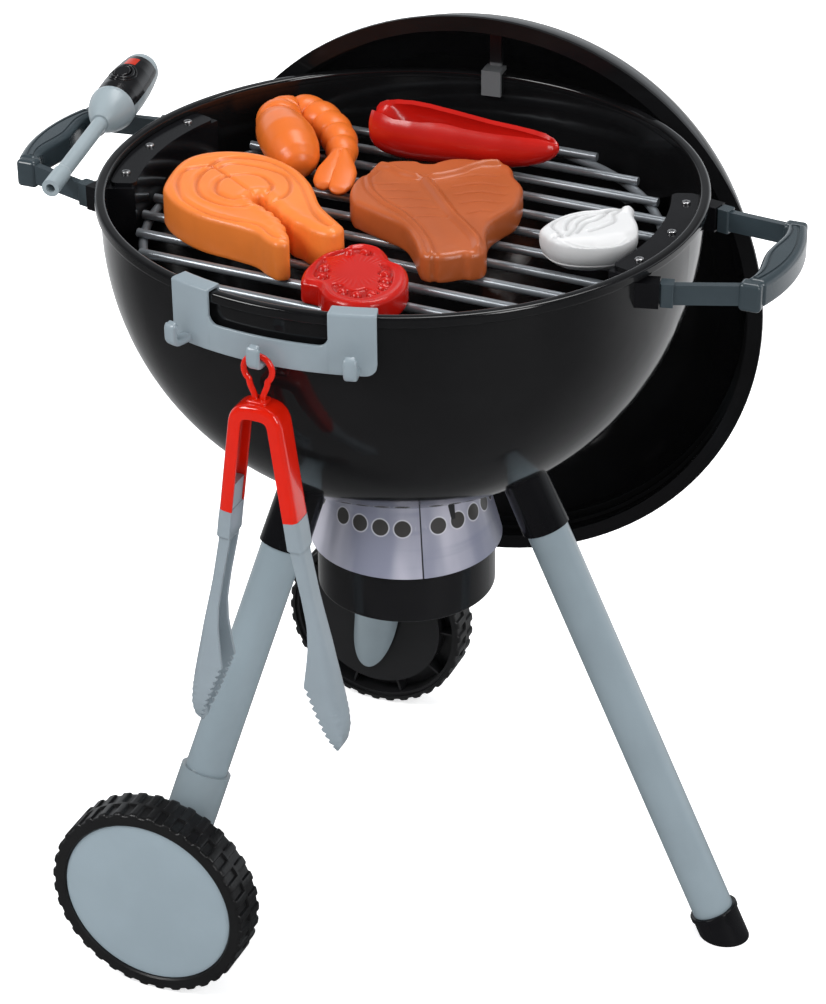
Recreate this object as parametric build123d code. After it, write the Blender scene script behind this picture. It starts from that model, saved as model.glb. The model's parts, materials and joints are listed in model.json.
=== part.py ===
from build123d import *
import math
import os

# Toy kettle barbecue on three splayed legs, with two wheels, a lift-off grate, play food,
# a hook rack with tongs, a toy lighter over the left handle and the lid hung at the back.
# Millimetres. Origin on the ground under the bowl's axis, Z up, right handle along X, rack towards -Y.

os.makedirs("parts", exist_ok=True)

# Shared clearances
overrun = 60.0
seat_gap = 0.3
fit_gap = 0.1
running_gap = 0.15
crown_flat = 4.0

# Bowl
rim_height = 447.6
bowl_radius = 162.3
lip_overhang = 2.7
rim_radius = bowl_radius + lip_overhang
lip_height = 6.0
lip_round = 1.9
bowl_wall = 3.0
bowl_depth = 176.7
bowl_skirt = 16.0
ledge_reach = 32.3
ledge_inner = bowl_radius - ledge_reach
ledge_width = 12.0
ledge_height = 14.0
ledge_angles = (45, 135, 225, 315)
boss_radius = 40.5
boss_wall = 3.0
boss_drop = 8.9
bowl_bottom = rim_height - bowl_depth
boss_low = bowl_bottom - boss_drop

# Legs, sockets and foot cap
leg_ground_radius = 200.15
leg_splay = 24.56
leg_turn_shares = {"foot": 0, "rear": 1 / 3, "front": -1 / 3}
tube_radius = 12.1
tube_wall = 1.5
tube_top_drop = 10.8
socket_long = 37.3
socket_skin_low = 1.7
socket_skin_top = 1.0
socket_low_radius = tube_radius + socket_skin_low
socket_top_radius = tube_radius + socket_skin_top
socket_bore_past = 1.0
foot_tube_start = 9.5
foot_cap_deep = 8.3
foot_cap_top = foot_tube_start + foot_cap_deep
foot_cap_skin = 1.5
foot_cap_radius = tube_radius + foot_cap_skin
foot_cap_lip = 0.8
foot_cap_lip_height = 2.6
leg_screw_radius = 2.0
leg_screw_head_radius = 4.2
leg_screw_head_height = 2.4
leg_screw_length = 15.0

# Axle brackets and wheels
wheel_radius = 60.0
wheel_width = 24.0
wheel_set_in = 0.489
wheel_side_gap = 1.3
wheel_shift = 1.8
bracket_skin = 2.3
bracket_radius = tube_radius + bracket_skin
bracket_above_axle = 72.03
bracket_tube_hold = 30.0
bracket_rib_thick = 3.0
bracket_rib_high = 22.0
bracket_rib_deep = 7.0
axle_radius = 4.0
axle_past_floor = 5.5
axle_boss_radius = 9.0
axle_boss_length = 1.0
tyre_wall = 3.6
tyre_side_wide = 8.3
tyre_side_radius = wheel_radius - tyre_side_wide
tyre_side_thick = 3.0
tread_count = 36
tread_depth = 1.7
tread_long = 8.6
tread_wide = 4.4
hub_radius = 7.5
disc_ring_wide = 15.0
disc_radius = wheel_radius - disc_ring_wide
disc_wall = 2.2
disc_recess = 2.0
rib_count = 10
rib_thick = 1.4
cap_room = 11.0
floor_level = wheel_width - cap_room
floor_thick = 2.0
axle_length = floor_level + floor_thick + axle_past_floor
cap_radius = tyre_side_radius - seat_gap
cap_thick = 2.4
cap_dome = 1.1
washer_radius = 7.0
washer_thick = 1.2

# Vent band and ash can
band_overlap = 4.3
band_height = 44.8
band_top = bowl_bottom + band_overlap
band_low = band_top - band_height
band_boss_gap = 2.5
band_flare = 11.9
band_top_radius = boss_radius + band_boss_gap
band_low_radius = band_top_radius + band_flare
band_wall = 1.8
band_web_up = 6.0
band_web_low = band_low + band_web_up
band_web_thick = 2.0
band_web_lap = 2.5
band_web_inner = boss_radius - band_web_lap
band_ring_drop = 9.2
band_ring_low = band_top - band_ring_drop
can_depth = 31.3
can_low = band_low - can_depth
can_set_in = 3.9
can_radius = band_low_radius - can_set_in
can_wall = 2.2
can_round = 2.4

# Cooking grate
rod_radius = 2.5
rod_drop = 24.6
rod_top = rim_height - rod_drop
rod_pitch = 21.7
rod_wall_gap = 19.1
rod_circle = bowl_radius - rod_wall_gap
rod_overhang = 4.8
ring_circle = rod_circle - rod_overhang
rods_a_side = int((ring_circle - rod_radius) // rod_pitch)
ring_drop = 4.4
grate_turn = -2.5

# Handles with their brackets, plates and screws
block_deep = 17.4
block_inner = bowl_radius - block_deep
block_drop = 43.6
block_low = rim_height - block_drop
block_half_angle = 20.5
plate_past_block = 0.6
plate_inner = block_inner - plate_past_block
plate_wide = 14.3
plate_outer = plate_inner + plate_wide
plate_thick = 2.0
plate_drop = 4.0
plate_top = rim_height - plate_drop
plate_half_angle = 19.3
plate_corner = 4.0
screw_place = 8.1
screw_circle = plate_inner + screw_place
screw_angles = (-14.3, 0, 14.3)
screw_head_radius = 2.4
screw_head_height = 1.3
screw_shank_radius = 1.3
screw_length = 12.0
screw_slot = 0.6
arm_root_in = 2.3
arm_root_x = bowl_radius - arm_root_in
arm_converge = 13.9
arm_reach = 47.0
arm_thick = 4.2
arm_height = 11.0
arm_drop = 20.0
arm_low = rim_height - arm_drop
arm_rise = 2.1
lug_inward = 10.0
lug_outward = 3.0
lug_wide = 9.6
lug_margin = 1.5
clip_start = 3.4
clip_length = 7.0
clip_wide = 7.4
clip_margin = 1.0
grip_half = 38.0
arm_past_grip = 0.609
arm_root_y = grip_half + arm_past_grip + arm_reach * math.sin(math.radians(arm_converge))
grip_lap = 2.624
grip_inner_end = arm_root_x + arm_reach * math.cos(math.radians(arm_converge)) - grip_lap
grip_deep = 11.4
grip_outer_end = grip_inner_end + grip_deep
grip_bow = 6.6
grip_outer_mid = grip_outer_end + grip_bow
grip_middle_rise = 0.6
grip_inner_mid = grip_inner_end + grip_middle_rise
grip_waist_rise = 3.0
grip_inner_waist = grip_inner_end + grip_waist_rise
grip_waist_from_end = 15.0
grip_waist_y = grip_half - grip_waist_from_end
grip_lift = 0.2
grip_low = arm_low + grip_lift
grip_height = 15.2
grip_round = 3.2
post_long = 11.0
post_wide = 9.0
post_drop = 1.0
post_round = 2.4
groove_deep = 0.6
groove_wide = 1.2
groove_inset = 4.6

# Accessory rack
rack_azimuth = -91.2
rack_plate = 2.0
rack_half = 57.0
rack_drop = 31.4
rack_low = rim_height - rack_drop
rack_band = 15.2
rack_band_top = rack_low + rack_band
rack_side_wide = 23.8
rack_window_half = rack_half - rack_side_wide
rack_corner = 6.0
rack_window_corner = 5.0
rack_leg_drop = 11.0
rack_leg_gap = 0.6
hook_azimuths = (-107.7, -91.5, -75.3)
hook_up = 2.6
hook_low = rack_low + hook_up
hook_reach = 13.2
hook_web = 3.0
hook_saddle_out = 6.4
hook_saddle_radius = 2.7
hook_saddle_up = 3.7
hook_saddle_low = hook_low + hook_saddle_up
hook_tip_wide = 7.4
hook_tip_high = 13.0
hook_tip_thick = 3.4
hook_round = 3.0

# Tongs
tongs_wide = 16.0
tongs_wall = 1.8
loop_wire = 3.2
loop_inner = 6.2
loop_centre = hook_saddle_low + seat_gap - loop_inner
loop_drop = 17.6
tongs_top = loop_centre - loop_drop
tongs_crown = 19.0
tongs_shoulder = tongs_top - tongs_crown
tongs_long = 63.0
tongs_end = tongs_top - tongs_long
tongs_top_half = 13.7
tongs_spread = 8.3
tongs_end_half = tongs_top_half + tongs_spread
tongs_depth = 7.7
tongs_outer_round = 11.5
tongs_inner_round = 5.0
loop_neck_half = 3.4
loop_neck_width = 8.0
loop_taper = 15.0
loop_inner_taper = 10.2
jaw_plug = 15.0
jaw_collar_long = 18.0
jaw_collar_low = tongs_end - jaw_collar_long
jaw_long = 137.0
jaw_tip = tongs_end - jaw_long
jaw_web = 2.2
jaw_side = 1.8
jaw_paddle_half = 9.0
jaw_shaft_half = 6.0
jaw_collar_half = 7.4
jaw_teeth = 9
jaw_tooth_radius = 1.7

# Lighter, built along X from its tube's mouth, top up
lighter_out = 15.7
lighter_past_arm = 17.8
lighter_mouth = (-bowl_radius - lighter_out, -arm_root_y - lighter_past_arm)
lighter_heading = 96.5
lighter_collar_radius = 5.0
lighter_collar_length = 17.0
lighter_tube_radius = 4.3
lighter_bore = 2.6
lighter_bore_deep = 14.0
lighter_tube_long = 75.0
lighter_nose_long = 20.0
lighter_body_long = 49.0
lighter_cap_long = 12.0
lighter_nose_start = lighter_tube_long
lighter_body_start = lighter_nose_start + lighter_nose_long
lighter_body_end = lighter_body_start + lighter_body_long
lighter_end = lighter_body_end + lighter_cap_long
lighter_radius = 12.5
lighter_nose_flare = 0.7
lighter_nose_radius = lighter_radius + lighter_nose_flare
lighter_wall = 2.2
lighter_split = 1.5
button_place = 18.0
button_station = lighter_body_start + button_place
button_long = 12.0
button_wide = 9.0
button_proud = 1.4
button_stem = 6.0
button_ring = 1.6

# Lid and its fittings
lid_aside = -12.0
lid_behind_wall = 28.3
lid_leg_gap = 4.0
lid_above_rim = 36.9
lid_azimuth = -84.0
lid_lean = 0.2
lid_flange = 2.4
lid_shell_radius = 167.0
lid_flange_wide = 6.3
lid_radius = lid_shell_radius + lid_flange_wide
lid_level = rim_height + lid_above_rim - lid_shell_radius
lid_wall = 2.5
lid_depth = 112.0
lid_skirt = 12.0
lid_step_deep = (9.0, 17.0)
lid_step_inward = (2.2, 4.2)
lid_step_long = 4.0
lid_hook_azimuth = 94.0
lid_hook_wide = 11.6
lid_hook_neck = 7.0
lid_hook_thick = 2.5
lid_hook_drop = 12.5
lid_hook_foot = 8.0
lid_hook_foot_up = 20.4
lid_hook_foot_low = rim_height + lid_hook_foot_up
lid_handle_half = 34.0
lid_post_radius = 7.0
lid_handle_rise = 26.0
lid_bar_radius = 7.5
lid_screw_radius = 2.0
damper_offset = 62.0
damper_radius = 22.0
damper_thick = 1.8
damper_hole = 5.0
damper_hole_circle = 12.5
damper_seat = 2.4
damper_rivet = 2.6
damper_tab = 9.0

# Play food on the grate: places on the grate, lengths and heights
food_reach = rod_circle
salmon_place_share = (-0.475, -0.279)
salmon_size = 118.0
salmon_height = 22.0
salmon_round = 2.6
tbone_place_share = (0.119, -0.014)
tbone_size = 96.0
tbone_height = 16.5
tbone_round = 2.6
tbone_ridge = 4.0
tbone_ridge_rise = 1.2
tomato_place_share = (0.119, -0.66)
tomato_radius = 28.0
tomato_height = 12.5
tomato_rim = 4.0
tomato_recess = 1.4
tomato_round = 2.0
onion_place_share = (0.7855, -0.063)
onion_radius = 24.0
onion_height = 21.5
onion_tip = 4.0
pepper_place_share = (-0.028, 0.6634)
pepper_turn = -7.0
pepper_length = 118.0
pepper_radius = 17.5
pepper_wall = 3.0
pepper_sink = 2.0
pepper_dip = 4.5
shrimp_place_share = (-0.6, 0.405)
shrimp_size = 88.0

# Outlines as shares of the sizes they follow
salmon_shares = [
    (-0.455, -0.03), (-0.49, 0.17), (-0.44, 0.33), (-0.34, 0.41), (-0.2, 0.435), (-0.07, 0.405),
    (0.06, 0.33), (0.18, 0.21), (0.29, 0.045), (0.37, -0.04), (0.475, -0.145), (0.455, -0.235),
    (0.35, -0.225), (0.23, -0.165), (0.115, -0.08), (0.02, 0.005), (0.005, -0.05), (0.09, -0.11),
    (0.22, -0.2), (0.32, -0.325), (0.355, -0.4), (0.275, -0.44), (0.18, -0.36), (0.02, -0.32),
    (-0.135, -0.29), (-0.285, -0.22), (-0.4, -0.13),
]
tbone_shares = [
    (-0.42, -0.14), (-0.51, 0.13), (-0.49, 0.33), (-0.42, 0.46), (-0.3, 0.51), (-0.22, 0.5),
    (-0.17, 0.58), (0.0, 0.65), (0.18, 0.66), (0.3, 0.52), (0.42, 0.31), (0.455, 0.15),
    (0.405, -0.06), (0.435, -0.235), (0.5, -0.41), (0.49, -0.52), (0.29, -0.645), (0.2, -0.63),
    (0.09, -0.455), (-0.03, -0.32), (-0.23, -0.23),
]
tbone_ridge_shares = [(-0.38, 0.36), (-0.27, 0.29), (-0.14, 0.3), (0.08, 0.56)]
tbone_stem_shares = [(-0.14, 0.3), (0.01, 0.14), (0.2, -0.12), (0.4, -0.34), (0.46, -0.44)]
pepper_shares = [(-0.5, 0.0), (-0.49, 0.55), (-0.42, 0.9), (-0.25, 1.0), (0.0, 0.86), (0.25, 0.62), (0.42, 0.4), (0.5, 0.0)]
shrimp_shares = [
    (-0.09, -0.08, 0.2), (-0.2, 0.08, 0.205), (-0.21, 0.24, 0.185), (-0.09, 0.33, 0.17), (0.05, 0.28, 0.15),
    (0.17, 0.15, 0.135), (0.27, 0.0, 0.12), (0.35, -0.16, 0.105), (0.39, -0.31, 0.09), (0.34, -0.43, 0.07),
    (0.43, -0.44, 0.065),
]
shrimp_flat_share = 0.62
jaw_outer_shares = [(0.5, 1.0), (0.555, 0.912), (0.548, 0.87), (0.645, 0.677), (0.82, 0.441), (0.955, 0.228), (1.0, 0.088), (0.915, 0.007)]
jaw_inner_shares = [(0.875, 0.022), (0.535, 0.287), (0.565, 0.39), (0.585, 0.493), (0.51, 0.677), (0.38, 0.875), (0.325, 1.0)]


def ring(outer, inner, low, high):
    """Plain ring about Z between two heights."""
    return Pos(0, 0, low) * extrude(Circle(outer) - Circle(inner), high - low)


def disc(radius, low, high):
    """Plain disc about Z between two heights."""
    return Pos(0, 0, low) * extrude(Circle(radius), high - low)


def block(x_low, x_high, y_low, y_high, z_low, z_high):
    """Box between two corners."""
    middle = Pos((x_low + x_high) / 2, (y_low + y_high) / 2, (z_low + z_high) / 2)
    return middle * Box(x_high - x_low, y_high - y_low, z_high - z_low)


def polygon(points):
    """Face of a closed run of points."""
    return make_face(Polyline(*points, close=True))


def smooth(points):
    """Face inside one smooth closed curve through points."""
    return make_face(Spline(*points, periodic=True))


def spun(face):
    """Solid of a half section in radius and height, turned about Z."""
    return revolve(Plane.XZ * face, axis=Axis.Z)


def sector(inner, outer, low, high, half_angle):
    """Part of a ring, centred on the X axis."""
    middle = Pos((inner + outer) / 2, (low + high) / 2) * Rectangle(outer - inner, high - low)
    return Rot(0, 0, -half_angle) * revolve(Plane.XZ * middle, axis=Axis.Z, revolution_arc=2 * half_angle)


def kettle(radius, depth, skirt):
    """Solid of a round kettle: mouth at zero, straight skirt, then an elliptical crown at minus depth."""
    bend = EllipticalCenterArc((crown_flat, -skirt), radius - crown_flat, depth - skirt, start_angle=270, arc_size=90)
    side = Polyline((radius, -skirt), (radius, 0), (0, 0), (0, -depth), (crown_flat, -depth))
    return spun(make_face(bend + side))


def kettle_radius(radius, depth, skirt, drop):
    """Radius of such a kettle at a drop below its mouth."""
    share = max(drop - skirt, 0) / (depth - skirt)
    return crown_flat + (radius - crown_flat) * math.sqrt(max(1 - share * share, 0))


def prism(face, y_low, y_high):
    """Solid of a face drawn in X and Z, between two places along Y."""
    return Pos(0, y_high, 0) * extrude(Plane.XZ * face, y_high - y_low)


def save(name, *solids):
    """Write one named piece, or a group of like pieces, to its own file."""
    whole = []
    for solid in solids:
        whole += list(solid.solids())
    piece = Compound(label=name, children=whole) if len(whole) > 1 else whole[0]
    piece.label = name
    export_step(piece, f"parts/{name}.step")
    print(name, len(whole), round(sum(one.volume for one in whole)))


def cross_screw(head_radius, head_height, shank_radius, length, slot):
    """Pan-head screw with a cross slot, head above zero and shank below."""
    head = disc(head_radius, 0, head_height)
    head = fillet(head.edges().sort_by(Axis.Z)[-1], head_height / 2)
    cut = Pos(0, 0, head_height) * (Box(slot, head_radius, head_height) + Box(head_radius, slot, head_height))
    return head - cut + disc(shank_radius, -length, head_height / 4)


# Bowl: an elliptical kettle with a rolled lip, four grate ledges and a boss below for the vent band
bowl_at = Pos(0, 0, rim_height)
bowl_cut = lip_height / 2


def bowl_solid(inset):
    """Kettle of the bowl, smaller all round by an inset, from halfway down the lip."""
    body = kettle(bowl_radius - inset, bowl_depth - inset - bowl_cut, bowl_skirt - bowl_cut)
    return bowl_at * Pos(0, 0, -bowl_cut) * body


bowl_inside = bowl_radius - bowl_wall
bowl_shell = bowl_solid(0) - bowl_solid(bowl_wall)
lip_width = rim_radius - bowl_inside
lip_face = Pos(rim_radius - lip_width / 2, -lip_height / 2) * RectangleRounded(lip_width, lip_height, lip_round)
bowl_shell += bowl_at * spun(lip_face)
bowl_shell += ring(boss_radius, boss_radius - boss_wall, boss_low, rim_height - bowl_skirt) & bowl_solid(-overrun)
bowl_shell -= bowl_solid(bowl_wall)
boss = ring(boss_radius, boss_radius - boss_wall, boss_low, rim_height - bowl_depth / 2) - bowl_solid(bowl_wall / 2)
bowl_shell = bowl_shell + boss
ring_axis = rod_top - rod_radius - ring_drop
ledge_top = ring_axis - rod_radius - seat_gap
ledge_face = polygon([
    (ledge_inner, ledge_top), (bowl_radius, ledge_top),
    (bowl_radius, ledge_top - ledge_height), (ledge_inner, ledge_top - ledge_height / 3),
])
for angle in ledge_angles:
    ledge = Rot(0, 0, angle) * prism(ledge_face, -ledge_width / 2, ledge_width / 2)
    bowl_shell += ledge & bowl_solid(bowl_wall / 2)


def arm_frame(side):
    """Place of an arm's root: X runs out along the arm, Z is world height."""
    return Pos(arm_root_x, side * arm_root_y, 0) * Rot(0, 0, -side * arm_converge)


def lug_box(margin):
    """The bracket's outer lug in the arm's own frame, grown by a margin."""
    low = arm_low - lug_margin - margin
    high = arm_low + arm_height + lug_margin + margin
    wide = lug_wide / 2 + margin
    return block(-lug_inward, lug_outward, -wide, wide, low, high)


for turn in (0, 180):
    for side in (-1, 1):
        bowl_shell -= Rot(0, 0, turn) * arm_frame(side) * lug_box(fit_gap)


def leg_frame(name):
    """Frame of a leg: origin at the ground, Z up along the leg."""
    return Rot(0, 0, 360 * leg_turn_shares[name]) * Pos(leg_ground_radius, 0, 0) * Rot(0, -leg_splay, 0)


def leg_crossing(inset):
    """Distance along a leg at which its axis meets the bowl, inset by a depth."""
    low, high = 0.0, rim_height
    sine, cosine = math.sin(math.radians(leg_splay)), math.cos(math.radians(leg_splay))
    for _ in range(50):
        middle = (low + high) / 2
        radius = leg_ground_radius - middle * sine
        limit = kettle_radius(bowl_radius - inset, bowl_depth - inset, bowl_skirt, rim_height - middle * cosine)
        inside = rim_height - middle * cosine < bowl_depth - inset and radius < limit
        low, high = (low, middle) if inside else (middle, high)
    return low


screw_seat = leg_crossing(bowl_wall) + seat_gap
tube_top = leg_crossing(0) - tube_top_drop
socket_low = leg_crossing(0) - socket_long
socket_bore_end = tube_top + socket_bore_past
leg_names = list(leg_turn_shares)
for name in leg_names:
    bowl_shell -= leg_frame(name) * disc(leg_screw_radius + fit_gap, screw_seat - leg_screw_length, screw_seat + bowl_wall)
save("bowl", bowl_shell)

# Leg sockets, tubes and the screws that hold the sockets from inside the bowl
socket_cone = Pos(0, 0, socket_low) * Cone(
    socket_low_radius, socket_top_radius, overrun, align=(Align.CENTER, Align.CENTER, Align.MIN))
socket_cone -= disc(tube_radius + fit_gap, socket_low - overrun, socket_bore_end)
socket_cone -= disc(leg_screw_radius + fit_gap, screw_seat - leg_screw_length - seat_gap, screw_seat + overrun)
bracket_top = wheel_radius / math.cos(math.radians(leg_splay)) + bracket_above_axle
bracket_tube_end = bracket_top - bracket_tube_hold
leg_screw = Pos(0, 0, screw_seat) * cross_screw(
    leg_screw_head_radius, leg_screw_head_height, leg_screw_radius, leg_screw_length, screw_slot)
for name in leg_names:
    save(f"leg_socket_{name}", leg_frame(name) * socket_cone - bowl_solid(-fit_gap))
save("leg_screws", *[leg_frame(name) * leg_screw for name in leg_names])
for name in leg_names:
    start = foot_tube_start if name == "foot" else bracket_tube_end
    save(f"leg_tube_{name}", leg_frame(name) * ring(tube_radius, tube_radius - tube_wall, start, tube_top))

# Foot cap: a sleeve with a lip, closed below and cut flat where it stands
cap_body = disc(foot_cap_radius, -foot_cap_radius, foot_cap_top)
cap_body += disc(foot_cap_radius + foot_cap_lip, foot_cap_top - foot_cap_lip_height, foot_cap_top)
cap_body = fillet(cap_body.edges().sort_by(Axis.Z)[-1], foot_cap_lip)
cap_body -= disc(tube_radius + fit_gap, foot_tube_start - fit_gap, foot_cap_top + overrun)
foot_half = 4 * foot_cap_radius
ground = block(leg_ground_radius - foot_half, leg_ground_radius + foot_half, -foot_half, foot_half, -overrun, 0)
save("foot_cap", leg_frame("foot") * cap_body - ground)

# Axle brackets: a sleeve on the tube, cut by an upright face that carries the stub axle
leg_reach = leg_ground_radius - math.tan(math.radians(leg_splay)) * wheel_radius
rear_turn = 2 * math.pi * leg_turn_shares["rear"]
wheel_x = leg_reach * math.cos(rear_turn) - wheel_shift
wheel_inner_face = leg_reach * math.sin(rear_turn) - wheel_set_in
axle_plane = wheel_inner_face - wheel_side_gap


def axle_frame(side):
    """Frame on a wheel's inner face: Z runs outward along the axle."""
    return Pos(wheel_x, side * wheel_inner_face, wheel_radius) * Rot(-side * 90, 0, 0)


for name, side in (("rear", 1), ("front", -1)):
    sleeve = leg_frame(name) * disc(bracket_radius, -overrun, bracket_top)
    rib_low = axle_radius + axle_boss_radius
    rib = axle_frame(side) * block(
        -bracket_rib_thick / 2, bracket_rib_thick / 2, -bracket_rib_high - rib_low, bracket_rib_high + rib_low,
        -wheel_side_gap - bracket_rib_deep, -wheel_side_gap)
    rib_high = Pos(wheel_x, 0, wheel_radius) * block(
        -bracket_rib_thick, bracket_rib_thick, -2 * wheel_inner_face, 2 * wheel_inner_face, 0, bracket_rib_high + rib_low)
    sleeve += rib & rib_high
    outside = Pos(wheel_x, side * (axle_plane + wheel_radius * 2), wheel_radius) * Box(
        wheel_radius * 6, wheel_radius * 4, wheel_radius * 6)
    sleeve -= outside
    sleeve -= leg_frame(name) * disc(tube_radius + fit_gap, bracket_tube_end - fit_gap, bracket_top + overrun)
    sleeve += axle_frame(side) * disc(axle_boss_radius, -wheel_side_gap - bracket_rib_deep / 2, axle_boss_length - wheel_side_gap)
    sleeve += axle_frame(side) * disc(axle_radius, -wheel_side_gap, axle_length)
    save(f"axle_bracket_{name}", sleeve)

# Tyre with two staggered rows of tread notches
tyre_body = ring(wheel_radius, wheel_radius - tyre_wall, 0, wheel_width)
tyre_body += ring(wheel_radius, tyre_side_radius, wheel_width - tyre_side_thick, wheel_width)
tyre_body = chamfer(tyre_body.edges().filter_by(GeomType.CIRCLE).sort_by(SortBy.RADIUS)[-2:], tyre_wall / 4)
notch = Box(2 * tread_depth, tread_wide, tread_long)
notches = []
for step in range(tread_count):
    angle = 360 * step / tread_count
    stagger = 180 / tread_count
    row_low = Pos(0, 0, wheel_width / 4) * Rot(0, 0, angle)
    row_high = Pos(0, 0, wheel_width * 3 / 4) * Rot(0, 0, angle + stagger)
    notches += [row_low * Pos(wheel_radius, 0, 0) * notch, row_high * Pos(wheel_radius, 0, 0) * notch]
tyre_body -= notches

# Wheel disc: hub, recessed inner plate, floor and thin ribs out to the tyre
disc_outer = wheel_radius - tyre_wall - fit_gap
disc_body = disc(hub_radius, wheel_side_gap / 2, floor_level + floor_thick)
disc_body += disc(disc_outer, floor_level, floor_level + floor_thick)
disc_body += ring(disc_radius, disc_radius - disc_wall, disc_recess, floor_level)
disc_body += disc(disc_radius, disc_recess, disc_recess + disc_wall)
disc_body += ring(disc_outer, disc_outer - disc_wall, disc_recess, floor_level)
for step in range(rib_count):
    rib = block(disc_radius - disc_wall / 2, disc_outer - disc_wall / 2, -rib_thick / 2, rib_thick / 2, 2 * disc_recess, floor_level)
    disc_body += Rot(0, 0, 360 * step / rib_count) * rib
disc_body -= disc(axle_radius + running_gap, -overrun, overrun)

# Plain outer cap with a shallow dome, and the washer that keeps the wheel on its axle
cap_top = wheel_width - tyre_side_thick / 6
cap_face = make_face(
    EllipticalCenterArc((crown_flat, cap_top - cap_dome), cap_radius - crown_flat, cap_dome, start_angle=0, arc_size=90)
    + Polyline((crown_flat, cap_top), (0, cap_top), (0, cap_top - cap_thick), (cap_radius - cap_thick, cap_top - cap_thick),
               (cap_radius - cap_thick, floor_level + floor_thick + fit_gap), (cap_radius, floor_level + floor_thick + fit_gap),
               (cap_radius, cap_top - cap_dome)))
cap_plain = spun(cap_face)
washer_low = floor_level + floor_thick + seat_gap
washer = ring(washer_radius, axle_radius + fit_gap / 2, washer_low, washer_low + washer_thick)
for name, side in (("rear", 1), ("front", -1)):
    save(f"wheel_tyre_{name}", axle_frame(side) * tyre_body)
    save(f"wheel_disc_{name}", axle_frame(side) * disc_body)
    save(f"wheel_cap_{name}", axle_frame(side) * cap_plain)
save("axle_washers", *[axle_frame(side) * washer for side in (1, -1)])

# Vent band, a thin cone with an inner web, and the ash can below it
band_face = polygon([
    (band_low_radius, band_low), (band_top_radius, band_top),
    (band_top_radius - band_wall, band_top), (band_low_radius - band_wall, band_low),
])
band_core = spun(polygon([(0, band_low), (band_low_radius - band_wall / 2, band_low), (band_top_radius - band_wall / 2, band_top), (0, band_top)]))
band_body = spun(band_face)
band_body += ring(band_low_radius, band_web_inner, band_web_low, band_web_low + band_web_thick) & band_core
band_body += ring(band_low_radius, boss_radius + fit_gap, band_ring_low, band_ring_low + band_web_thick) & band_core
save("vent_band", band_body - bowl_solid(-fit_gap))
can_top = band_web_low - seat_gap
can_body = disc(can_radius, can_low, can_top)
can_body = fillet(can_body.edges().sort_by(Axis.Z)[0], can_round)
can_body -= disc(can_radius - can_wall, can_low + can_wall, can_top + overrun)
save("ash_can", can_body)

# Cooking grate: parallel rods on one round ring
rods = []
rod_limit = disc(rod_circle, ring_axis - overrun, rod_top + overrun)
for step in range(-rods_a_side, rods_a_side + 1):
    across = step * rod_pitch
    rod = Pos(0, across, rod_top - rod_radius) * Rot(0, 90, 0) * Cylinder(rod_radius, 2 * rod_circle)
    rods.append(rod & rod_limit)
grate = Pos(0, 0, ring_axis) * Torus(ring_circle, rod_radius) + rods
save("cooking_grate", Rot(0, 0, grate_turn) * grate)

# Handles: clamp plate and block inside the rim, two lugs through the wall, two arms and a bowed grip
plate_low = plate_top - plate_thick
bracket_block = sector(block_inner, rim_radius, block_low, plate_low - fit_gap, block_half_angle) & bowl_solid(bowl_wall + fit_gap)
pocket = block(
    0, lug_outward + overrun, -arm_thick / 2 - fit_gap, arm_thick / 2 + fit_gap,
    arm_low - fit_gap, arm_low + arm_height + fit_gap)
lugs = lug_box(0)
bracket_body = bracket_block
for side in (-1, 1):
    bracket_body += arm_frame(side) * lugs
for side in (-1, 1):
    bracket_body -= arm_frame(side) * pocket
plate_body = sector(plate_inner, plate_outer, plate_low, plate_top, plate_half_angle)
plate_body = fillet(plate_body.edges().filter_by(Axis.Z), plate_corner)
plate_screws = []
for angle in screw_angles:
    spot = Rot(0, 0, angle) * Pos(screw_circle, 0, plate_top)
    hole = spot * disc(screw_shank_radius + fit_gap, -screw_length - fit_gap, overrun)
    plate_body -= hole
    bracket_body -= hole
    plate_screws.append(spot * cross_screw(
        screw_head_radius, screw_head_height, screw_shank_radius, screw_length, screw_slot))

arm_side = polygon([
    (fit_gap, arm_low), (clip_start + clip_length, arm_low), (arm_reach, arm_low + arm_rise),
    (arm_reach, arm_low + arm_height + arm_rise), (clip_start + clip_length, arm_low + arm_height),
    (fit_gap, arm_low + arm_height),
])
arm_body = prism(arm_side, -arm_thick / 2, arm_thick / 2)
clip_body = block(
    clip_start, clip_start + clip_length, -clip_wide / 2, clip_wide / 2,
    arm_low - clip_margin, arm_low + arm_height + clip_margin)
arm_body += fillet(clip_body.edges().filter_by(Axis.Z), clip_margin)


def grip_outline(inset, round_size):
    """Plan of the grip: bowed outside, waved inside, smaller all round by an inset."""
    half, outer, inner = grip_half - inset, grip_outer_end - inset, grip_inner_end + inset
    waist, middle = grip_inner_waist + inset, grip_inner_mid + inset
    face = make_face(
        ThreePointArc((outer, -half), (grip_outer_mid - inset, 0), (outer, half))
        + Line((outer, half), (inner, half))
        + Spline((inner, half), (waist, grip_waist_y), (middle, 0), (waist, -grip_waist_y), (inner, -half))
        + Line((inner, -half), (outer, -half)))
    return fillet(face.vertices().group_by(Axis.Y)[-1] + face.vertices().group_by(Axis.Y)[0], round_size)


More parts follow.
